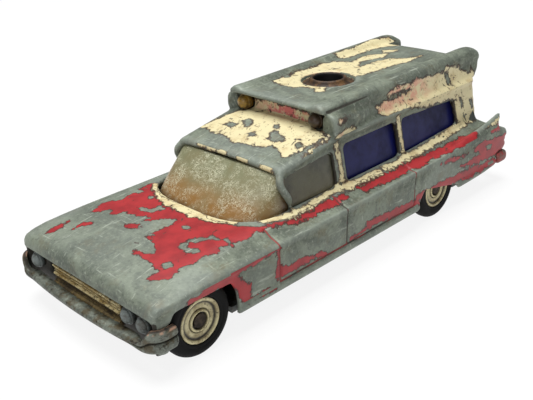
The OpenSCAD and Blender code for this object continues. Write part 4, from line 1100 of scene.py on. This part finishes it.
# the last layer is painted shade: the inner walls of the hollow are a flat darker grey
colour = skin.layered(
    metal, (red_mask, red_paint), (cream_mask, cream_paint), (rim * 0.92, shade(56, 36, 28)),
    (hollow_dirt_and_shade * 0.9, shade(46, 40, 32)), (rubbed * 0.3, shade(158, 166, 158)), (line * 0.8, groove),
    (painted_shade_mask * 0.92, shade(36, 28, 20)), (skin.measured("inner_shade"), shade(70, 76, 74)))
relief = coat * 0.7 + speckle * 0.22 - line * 1.2 - scratch * 0.08 + cloud * 0.1
skin.set(Base_Color=colour, Roughness=0.6 - coat * 0.16 + hollow_dirt_and_shade * 0.2, Metallic=(1 - coat) * 0.22,
         Specular_IOR_Level=0.4, Normal=skin.bumped(relief, 0.0001))
carried_values = {"hollowness": hollowness, "red": red, "cream": cream, "seam": seam, "painted_shade": painted_shade,
                  "inner_shade": inside, "pink": pink}
body = piece("cast_body", (body_points, body_quads.astype(int), body_triangles.astype(int)), skin, "car",
             ["body_casting"], carried_values)
hidden = body.vertex_groups.new(name="hidden_walls")
hidden.add(np.flatnonzero(inside & (room_left > 0.8)).tolist(), 1.0, "REPLACE")
thin = body.modifiers.new("fewer_hidden_faces", "DECIMATE")
thin.ratio, thin.vertex_group = 0.6, "hidden_walls"

# %% [markdown]
# ## Aged finishes
# Old toys are never one colour. Most of the small pieces share one recipe: a colour, dirt that gathers in
# broad patches and fine specks, and a surface that is rougher where it is dirty.

# %% The shared recipe for small pieces
PITTING = 0.00002


def aged(name, colour, dirt, amount, roughness, metallic=0.0, scale=420.0, gloss=0.5):
    """A screen colour with patches of dirt over about the given share of it, slightly pitted."""
    made = Finish(name)
    broad, fine = made.noise(scale, 5.0, 0.6), made.noise(scale * 7, 4.0, 0.6)
    soil = (broad * 0.7 + fine * 0.3).step(0.56 - 0.3 * amount, 0.8 - 0.3 * amount)
    made.set(Base_Color=made.mixed(soil, shade(*colour), shade(*dirt)), Roughness=roughness + soil * 0.2,
             Metallic=metallic, Specular_IOR_Level=gloss, Normal=made.bumped(broad + fine * 0.5, PITTING))
    return made


dull_lamp = aged("dull_lamp", (104, 112, 110), (58, 54, 44), 0.5, 0.4)
red_lens = aged("red_lens", (150, 28, 24), (60, 24, 18), 0.3, 0.3)
brown_lens = aged("brown_lens", (58, 42, 26), (28, 20, 12), 0.4, 0.3)
amber_lens = aged("amber_lens", (148, 116, 48), (58, 40, 18), 0.5, 0.25)
black_rubber = aged("black_rubber", (9, 9, 9), (26, 25, 22), 0.3, 0.7, gloss=0.2)
red_metal = aged("worn_red_metal", (150, 38, 42), (98, 104, 92), 0.55, 0.5, 0.1, 300.0)
print("six aged finishes made")

# %% [markdown]
# Five pieces need more than the shared recipe. The front bumper has painted shade in its groove and keeps
# some pale paint along its upper edge, which also stands in for a painted highlight there.

# %% Front bumper finish
grey_metal = Finish("bumper_metal")
tone, grain = grey_metal.noise(220.0, 6.0, 0.65).step(0.35, 0.66), grey_metal.noise(1700.0, 4.0, 0.7)
# pale paint along the upper edge, partly a painted highlight on the top of the bar
pale_paint_and_highlight = grey_metal.height().step(0.0093, 0.0096) * grey_metal.noise(700.0, 4.0).step(0.4, 0.5)
# painted shade in the groove between the lobes
groove_shade = grey_metal.measured("groove").step(0.25, 0.7)
dress = grey_metal.layered(
    shade(80, 85, 77), (tone, shade(112, 118, 107)), (grain.step(0.5, 0.7) * 0.5, shade(148, 151, 138)),
    (grain.step(0.47, 0.3) * 0.6, shade(52, 50, 40)),
    (grey_metal.noise(380.0, 5.0, 0.7).step(0.46, 0.6) * 0.8, shade(70, 58, 32)),
    (grey_metal.noise(800.0, 5.0, 0.7).step(0.56, 0.62) * 0.85, shade(34, 29, 20)),
    (pale_paint_and_highlight * 0.85, shade(188, 150, 126)), (groove_shade * 0.9, shade(38, 32, 24)))
grey_metal.set(Base_Color=dress, Roughness=0.5 + groove_shade * 0.2, Metallic=0.25,
               Normal=grey_metal.bumped(grain, 0.00003))
print("bumper finish made")

# %% [markdown]
# The grille is gold plate gone brown between its bars, paler in its upper half. The hubs are dark in their
# rings and round the axle end, with dirt and painted shade.

# %% Grille and hub finishes
gold_plate = Finish("tarnished_plate")
patchy, grain = gold_plate.noise(330.0, 6.0, 0.7), gold_plate.noise(1500.0, 5.0, 0.7)
upper = gold_plate.height().step(0.0086, 0.0092)
between = gold_plate.measured("relief").step(0.75, 0.5)
bars = gold_plate.layered(
    gold_plate.mixed(patchy.step(0.36, 0.6), shade(120, 102, 60), shade(58, 46, 24)),
    (upper, gold_plate.mixed(patchy.step(0.4, 0.62), shade(206, 192, 146), shade(150, 124, 66))),
    (grain.step(0.53, 0.63) * 0.9, shade(40, 30, 18)),
    (between * 0.8, gold_plate.mixed(upper, shade(52, 38, 18), shade(104, 84, 46))))
gold_plate.set(Base_Color=bars, Roughness=0.45 + between * 0.25, Metallic=0.2,
               Normal=gold_plate.bumped(grain, 0.00004))

cream_hub = Finish("cream_hub")
smear, grain = cream_hub.noise(360.0, 6.0, 0.68), cream_hub.noise(2100.0, 4.0, 0.7)
# dirt and painted shade in the sunk rings, at the back and round the axle end
dirt = (cream_hub.measured("sunk") * (0.55 + smear)).least(1.0)
disc_colour = cream_hub.layered(
    shade(204, 194, 150), (smear.step(0.45, 0.7), shade(146, 130, 88)),
    (grain.step(0.54, 0.66) * 0.8, shade(66, 54, 34)), (dirt * 0.95, shade(30, 25, 17)))
cream_hub.set(Base_Color=disc_colour, Roughness=0.5, Normal=cream_hub.bumped(grain, 0.00003))
print("grille and hub finishes made")

# %% [markdown]
# The windscreen is yellowed below, milky above and covered in fine curling scratches: thin lines where a
# warped noise crosses its middle value. The collar is rusty outside, with painted shade near black in its
# bore and round the foot of its flare.

# %% Windscreen and collar finishes
screen_plastic = Finish("frosted_plastic")
mist = screen_plastic.noise(170.0, 5.0, 0.65)
up_the_screen = (screen_plastic.height() + (mist - 0.5) * 0.003).step(0.0164, 0.0218)
curl, finer_curl = [1 - (screen_plastic.noise(scale, 3.0, 0.6, warp) - 0.5).size().step(0.0, 0.03)
                    for scale, warp in ((420.0, 2.6), (760.0, 2.2))]
curls = curl.most(finer_curl) * screen_plastic.noise(260.0, 4.0, 0.65).step(0.36, 0.62)
edge_dark = (screen_plastic.measured("border") + (mist - 0.5) * 1.6).step(1.3, 0.1)
# painted shade: the front door panes are dark for the shaded cabin behind them
shaded_door_glass = screen_plastic.mixed(mist.step(0.38, 0.62), shade(34, 35, 28), shade(72, 72, 54))
sheet = screen_plastic.layered(
    shade(132, 96, 48), (up_the_screen, shade(116, 117, 88)), (mist.step(0.45, 0.7) * 0.5, shade(118, 108, 76)),
    (curls * 0.8, shade(204, 204, 176)), (edge_dark * 0.8, shade(72, 54, 32)),
    (screen_plastic.measured("pane") * 0.9, shaded_door_glass))
screen_plastic.set(Base_Color=sheet, Roughness=0.34 + curls * 0.25, Coat_Weight=0.15,
                   Normal=screen_plastic.bumped(curls * -0.4 + mist * 0.5, 0.00004))

rust_collar = Finish("rust_collar")
blotch, grain = rust_collar.noise(420.0, 6.0, 0.7), rust_collar.noise(1900.0, 4.0, 0.7)
# the last layer is painted shade, near black in the bore and round the foot of the flare
ring_colour = rust_collar.layered(
    shade(112, 80, 46), (blotch.step(0.38, 0.6), shade(46, 31, 19)),
    (grain.step(0.52, 0.66) * 0.6, shade(30, 20, 12)), (rust_collar.measured("painted_shade"), shade(8, 7, 6)))
rust_collar.set(Base_Color=ring_colour, Roughness=0.6, Metallic=0.2, Normal=rust_collar.bumped(grain, 0.00004))
print("windscreen and collar finishes made")

# %% [markdown]
# ## Glazing
# The windscreen is one clear moulding that wraps round to the first posts. Its plan is a squared-off half
# oval, widest at the cowl, so it is a surface of two numbers: how far up, and how far round. The panes of
# the front doors belong to the same moulding and lean in with the side of the cabin.

# %% Windscreen and front panes
SCREEN_FOOT, SCREEN_TOP, PANE_FOOT, PANE_TOP, PANE_INSET, SHEET = 15.2, 23.2, 16.4, 23.5, 0.75, 0.8
rise, around = np.meshgrid(np.linspace(0, 1, 36), np.linspace(-np.pi / 2, np.pi / 2, 121), indexing="ij")


def screen_sheet(grow):
    """The windscreen at one depth: plan of the half oval at each height."""
    x, y = screen_plan(rise, grow, around)
    return np.stack([x, y, mix(SCREEN_FOOT, SCREEN_TOP, rise)], -1)


def front_pane(sign, depth):
    """A pane inside the leaning wall of the cabin, at one depth."""
    x, t = np.meshgrid(np.linspace(2.7, 17.4, 24), np.linspace(0, 1, 16), indexing="ij")
    z = mix(PANE_FOOT, PANE_TOP, t)
    y = mix(BELT_HALF, GUTTER_HALF, ramp(z, BELT, 26.3)) - PANE_INSET - depth
    return np.stack([x, sign * y, z], -1)


front_panes = [shell(front_pane(sign, 0.0), front_pane(sign, SHEET)) for sign in (1, -1)]
border = np.minimum(rise * 7.5, (np.pi / 2 - np.abs(around)) * 9).ravel()
pane_count = sum(len(pane[0]) for pane in front_panes)
border = np.concatenate([border, border, np.full(pane_count, 2.0)])
is_pane = np.concatenate([np.zeros(2 * rise.size), np.ones(pane_count)])
windscreen = together(shell(screen_sheet(0.0), screen_sheet(-SHEET)), *front_panes)
creased(piece("windscreen", windscreen, screen_plastic, "car", ["front_glazing"],
              {"border": border, "pane": is_pane}), 50)

# %% [markdown]
# ## Bumpers
# Each bumper is one bar bent round the corners, and its section changes on the way: a plain rounded bar
# in the middle, two swelling lobes with a groove between them at the corners of the nose. That is a
# profile carried along a path, with the profile a function of how far along the path it is.

# %% Front and rear bumpers
def bumper(edge, facing, corner, bow, side_end, bar, wrap, groove, lobes):
    """A closed section carried along the plan of the bumper.

    The plan is a shallow arc across the car, a quarter turn of radius `corner` and a straight side. The section
    runs from a single rounded bar to `lobes` swellings as it nears the corner."""
    flat = HALF_WIDTH - corner
    across = np.linspace(0, flat, 60)[:-1]
    turn = np.linspace(0, np.pi / 2, 40)
    back = np.linspace(0, 1, 24)[1:]
    far = side_end - corner - bow
    px = np.concatenate([-bow * (across / flat) ** 2, -bow - corner * (1 - np.cos(turn)),
                         -bow - corner - far * back])
    py = np.concatenate([across, flat + corner * np.sin(turn), np.full(len(back), HALF_WIDTH)])
    nx = np.concatenate([np.ones(len(across)), np.cos(turn), np.zeros(len(back))])
    ny = np.concatenate([np.zeros(len(across)), np.sin(turn), np.ones(len(back))])
    px, nx = np.concatenate([px[:0:-1], px]), np.concatenate([nx[:0:-1], nx])
    py, ny = np.concatenate([-py[:0:-1], py]), np.concatenate([-ny[:0:-1], ny])
    length = np.concatenate([[0], np.cumsum(np.hypot(np.diff(px), np.diff(py)))])
    to_end = np.minimum(length, length[-1] - length)
    pod = ease(np.abs(py), flat - 3.4, flat + 0.6)
    rise = ease(np.abs(py), flat - 0.6, flat + 2.4)
    close = np.sqrt(1 - (1 - ramp(to_end, 0, 0.9)) ** 2)
    t = np.linspace(0, 1, 49)
    single = np.sqrt(1 - np.abs(2 * t - 1) ** 2.6)
    double = np.zeros_like(t)
    for middle, half in lobes:
        double = np.maximum(double, np.sqrt(np.clip(1 - np.abs((t - middle) / half) ** 2.4, 0, 1)))
    out = mix(single, double, pod[:, None])
    low, high = mix(bar[0], wrap[0], pod), mix(bar[1], wrap[1], rise)
    middle = (low + high) / 2
    z = middle[:, None] + (mix(low[:, None], high[:, None], t) - middle[:, None]) * mix(0.55, 1, close)[:, None]
    depth = mix(-1.0, groove, pod)[:, None] * (1 - out) - 0.5 * (1 - close)[:, None]
    inner = np.broadcast_to((-mix(2.1, 1.0, pod) + 0.25 * (1 - close))[:, None], depth[:, ::6].shape)
    depth = np.concatenate([depth, inner], 1)
    z = np.concatenate([z, z[:, ::-6]], 1)
    points = np.stack([px[:, None] + nx[:, None] * depth, py[:, None] + ny[:, None] * depth, z], -1)
    points[..., 0] = edge + facing * points[..., 0]
    sunken = np.concatenate([1 - out, np.zeros(inner.shape)], 1) * pod[:, None]
    return capped(points), np.concatenate([sunken.ravel(), [0, 0]])


def block(x0, x1, y0, y1, z0, z1):
    """A box as a closed skin."""
    c = np.array([[x0, y0], [x1, y0], [x1, y1], [x0, y1]], float)
    return capped(np.stack([np.column_stack([c, np.full(4, z)]) for z in (z0, z1)]))


def irons(x0, x1, z0, z1):
    """Two flat irons that carry a bumper, one on each side of the middle."""
    return [block(x0, x1, sign * 8.2 - 1.2, sign * 8.2 + 1.2, z0, z1) for sign in (1, -1)]


nose_bar = bumper(NOSE, 1, 3.6, 1.0, 6.7, (5.9, 7.4), (5.8, 9.9), -0.62, [(0.22, 0.26), (0.745, 0.255)])
tail_bar = bumper(TAIL, -1, 2.4, 0.3, 5.6, (5.6, 7.5), (5.3, 7.9), -0.8, [(0.5, 0.5)])
for end, (bar, sunken), carriers, finish in (("front", nose_bar, irons(52.8, 55.0, 6.1, 7.0), grey_metal),
                                             ("rear", tail_bar, irons(-54.8, -50.3, 5.8, 7.2), red_metal)):
    plain = np.zeros(sum(len(iron[0]) for iron in carriers))
    piece(f"{end}_bumper_bar", together(bar, *carriers), finish, "car", [f"{end}_bumper"],
          {"groove": np.concatenate([sunken, plain])})

# %% [markdown]
# ## Grille and lamps
# The grille is pressed plate: a sheet whose relief is the larger of its level bars and fine upright ribs.

# %% Grille
BARS = [(7.62, 0.2, 0.9), (8.3, 0.14, 0.75), (8.95, 0.26, 1.1), (9.6, 0.14, 0.8), (10.05, 0.12, 0.75),
        (10.62, 0.28, 1.05)]
SHELF, GRILLE_BACK = (6.85, 0.66, 1.5), FRONT_PANEL + FIT
gy, gz = np.meshgrid(np.linspace(-10.6, 10.6, 301), np.linspace(6.3, 10.85, 76), indexing="ij")


def level_bar(middle, half, height, square):
    """A bar along the grille with rounded edges; a larger number makes it squarer."""
    return height * np.clip(1 - np.abs((gz - middle) / half) ** square, 0, 1) ** 0.5


ribs = 0.42 + 0.16 * np.abs(np.cos(np.pi * gy / 0.55)) ** 0.7
relief = np.max([ribs, level_bar(*SHELF, 3)] + [level_bar(*bar, 2.5) for bar in BARS], 0)
plate = shell(np.stack([GRILLE_BACK + relief, gy, gz], -1),
              np.stack([np.full_like(gy, GRILLE_BACK), gy, gz], -1))
piece("grille_plate", plate, gold_plate, "car", ["grille"],
      {"relief": np.concatenate([relief.ravel(), np.zeros(relief.size)])})

# %% [markdown]
# Lamps are turned shapes, a rim and a low dome. Three domes fill seats at the nose, and the fourth seat
# there is open.

# %% Lamps
def lamp_profile(radius, tall, dome, stem=()):
    """A short cylinder with a rolled rim and a dome inside it, from the back to the tip."""
    swing = np.linspace(0, np.pi / 2 - 0.02, 14)
    inner = radius - 0.2
    rim = [(radius, 0.0), (radius, tall - 0.18), (radius - 0.04, tall - 0.05), (radius - 0.12, tall),
           (inner, tall - 0.06)]
    bulge = np.column_stack([inner * np.cos(swing), tall - 0.06 + (dome + 0.06) * np.sin(swing)])
    start = [(0.02, stem[0][1] if stem else 0.0)]
    return np.concatenate([np.array(start + list(stem) + rim), bulge])


def lamps_at(spots, profile, facing):
    """The same lamp at each spot, its dome towards the front (1) or the back (-1)."""
    return together(*[capped(turned(profile * [1, facing], spot, 0, 48)) for spot in spots])


heads = lamps_at([(GRILLE_BACK, y, HEAD_Z) for y in HEAD_LAMPS], lamp_profile(1.6, 0.8, 0.9), 1)
piece("headlamp_domes", heads, dull_lamp, "car", ["headlamps"])
tails = lamps_at([(-54.7, sign * TAIL_LAMP[0], TAIL_LAMP[1]) for sign in (-1, 1)],
                 lamp_profile(1.5, 1.1, 0.7), -1)
piece("tail_lamp_domes", tails, red_lens, "car", ["tail_lamps"])
roof_bulb = lamp_profile(1.7, 1.2, 1.4, [(0.8, -2.4), (0.8, 0.0)])
for hand, sign, lens_finish in (("left", 1, brown_lens), ("right", -1, amber_lens)):
    bulb = lamps_at([(RECESS + FIT, sign * ROOF_LAMP[0], ROOF_LAMP[1])], roof_bulb, 1)
    piece(f"{hand}_roof_lens", bulb, lens_finish, "car", [f"{hand}_roof_lamp"])

# %% [markdown]
# ## Lamp socket
# A brass-coloured collar in the deck takes a roof lamp: a flared ring that rises to a lip round an open
# bore. It closes on itself both ways, so it has no ends to cap.

# %% Socket collar
ROUND = 96
COLLAR = np.array([  # radius, height and painted shade
    (BORE_R, 28.5, 1), (SLEEVE_R, 28.5, 1), (SLEEVE_R, SEAT_Z, 1), (COLLAR_R - 0.1, SEAT_Z, 1),
    (COLLAR_R, 31.38, 0.95), (5.74, 31.6, 0.7), (5.36, 31.72, 0.35), (4.8, 31.85, 0.1), (4.28, 32.15, 0),
    (4.1, 32.55, 0), (3.95, 32.82, 0), (3.7, 32.9, 0.15), (3.42, 32.84, 0.6),
    (3.27, 32.65, 1), (BORE_R, 32.3, 1)])
creased(piece("socket_collar", looped(turned(COLLAR[:, :2], (SOCKET, 0, 0), 2, ROUND)), rust_collar, "car",
              ["lamp_socket"], {"painted_shade": np.repeat(COLLAR[:, 2], ROUND)}), 50)

# %% [markdown]
# ## Wheels
# A hub is a turned disc: a rim bead, a dished face, a raised ring and a hole where the axle end is riveted
# over. The tyre is a plain soft ring with round shoulders and a flat tread.

# %% Hubs and tyres
HUB = np.array([  # radius, depth below the face, and dirt with painted shade
    (0.95, 4.4, 0.5), (2, 4.4, 0.5), (2, 2.9, 0.5), (HUB_R, 2.9, 0.5), (HUB_R, 0.32, 0.5),
    (HUB_R - 0.08, 0.16, 0.1), (HUB_R - 0.25, 0.1, 0), (HUB_R - 0.5, 0.14, 0.1), (HUB_R - 0.68, 0.34, 0.55),
    (HUB_R - 0.78, 0.56, 1),
    (HUB_R - 0.95, 0.6, 0.9), (3, 0.52, 0.12), (2.5, 0.44, 0.1), (2.32, 0.5, 0.5), (2.22, 0.62, 1),
    (2.12, 0.4, 0.4), (2.02, 0.24, 0.05), (1.88, 0.18, 0), (1.74, 0.24, 0.1),
    (1.64, 0.5, 0.8), (1.6, 0.95, 1), (0.95, 0.95, 1)])


def shoulder_arc(first, last, height):
    """A quarter turn of a shoulder, in degrees, round a centre at this distance from the middle plane."""
    swing = np.radians(np.linspace(first, last, 10))
    return np.column_stack([TYRE_R - SHOULDER + SHOULDER * np.cos(swing), height + SHOULDER * np.sin(swing)])


hub_profile = np.column_stack([HUB[:, 0], FACE - HUB[:, 1]])
tread = np.concatenate([
    [(HUB_R + 0.02, TYRE_INNER + 0.4), (HUB_R + 0.5, TYRE_INNER)],
    shoulder_arc(-90, 0, TYRE_INNER + SHOULDER), shoulder_arc(0, 90, FACE - SHOULDER),
    [(HUB_R + 0.9, FACE - 0.02), (HUB_R + 0.75, FACE - 0.12), (HUB_R + 0.5, FACE - 0.03),
     (HUB_R + 0.12, FACE - 0.12), (HUB_R + 0.02, FACE - 0.4)]])
for end, axle in (("front", FRONT_AXLE), ("rear", REAR_AXLE)):
    for hand, sign in (("left", 1), ("right", -1)):
        wheel, centre = f"{end}_{hand}", (axle, 0, AXLE_Z)
        disc, ring = [looped(turned(profile * [1, sign], centre, 1, segments))
                      for profile, segments in ((hub_profile, ROUND), (tread, 120))]
        creased(piece(wheel + "_disc", disc, cream_hub, wheel + "_wheel", [wheel + "_hub"],
                      {"sunk": np.repeat(HUB[:, 2], ROUND)}), 40)
        piece(wheel + "_rubber", ring, black_rubber, wheel + "_wheel", [wheel + "_tyre"])

# %% [markdown]
# ## The solids that stay
# The base plate, battery gear, springs and axles are plain turned, bent or pressed pieces that the solid
# model already shows well. They keep their shape and get an aged finish each.

# %% Finishes of the solids left showing
STAYS = [
    (aged("base_plate_paint", (96, 100, 98), (66, 56, 42), 0.5, 0.5, 0.2), ["base_plate", "battery_hatch"]),
    (aged("dull_steel", (120, 120, 116), (84, 66, 46), 0.4, 0.4, 0.7),
     ["base_rivets", "front_spring", "rear_spring"]),
    (aged("rusty_steel", (66, 52, 34), (34, 26, 16), 0.6, 0.6, 0.3, 900.0), ["front_axle", "rear_axle"]),
    (aged("navy_panes", (24, 28, 88), (18, 20, 62), 0.5, 0.3, 0.0, 110.0, 0.25), ["rear_glazing"]),
    (aged("pressed_fibre", (22, 17, 13), (12, 10, 8), 0.4, 0.9), ["socket_insulator"]),
    (aged("sooted_brass", (44, 36, 22), (20, 16, 12), 0.5, 0.6, 0.3), ["lamp_contact"]),
    (aged("contact_brass", (168, 136, 72), (96, 72, 36), 0.4, 0.35, 0.8),
     ["lamp_lead", "front_cell_contact", "rear_cell_contact", "switch_contact"]),
    (aged("black_plastic", (30, 30, 32), (58, 54, 48), 0.3, 0.45), ["battery_tray"]),
    (aged("cell_jacket", (150, 150, 146), (110, 84, 50), 0.3, 0.45, 0.3), ["dry_cell"]),
    (aged("ivory_plastic", (216, 206, 176), (150, 130, 92), 0.3, 0.4), ["switch_slider"])]
for finish, names in STAYS:
    for name in names:
        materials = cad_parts[name].data.materials
        materials.clear()
        materials.append(finish.material)
print(sum(len(names) for _, names in STAYS), "solids finished")
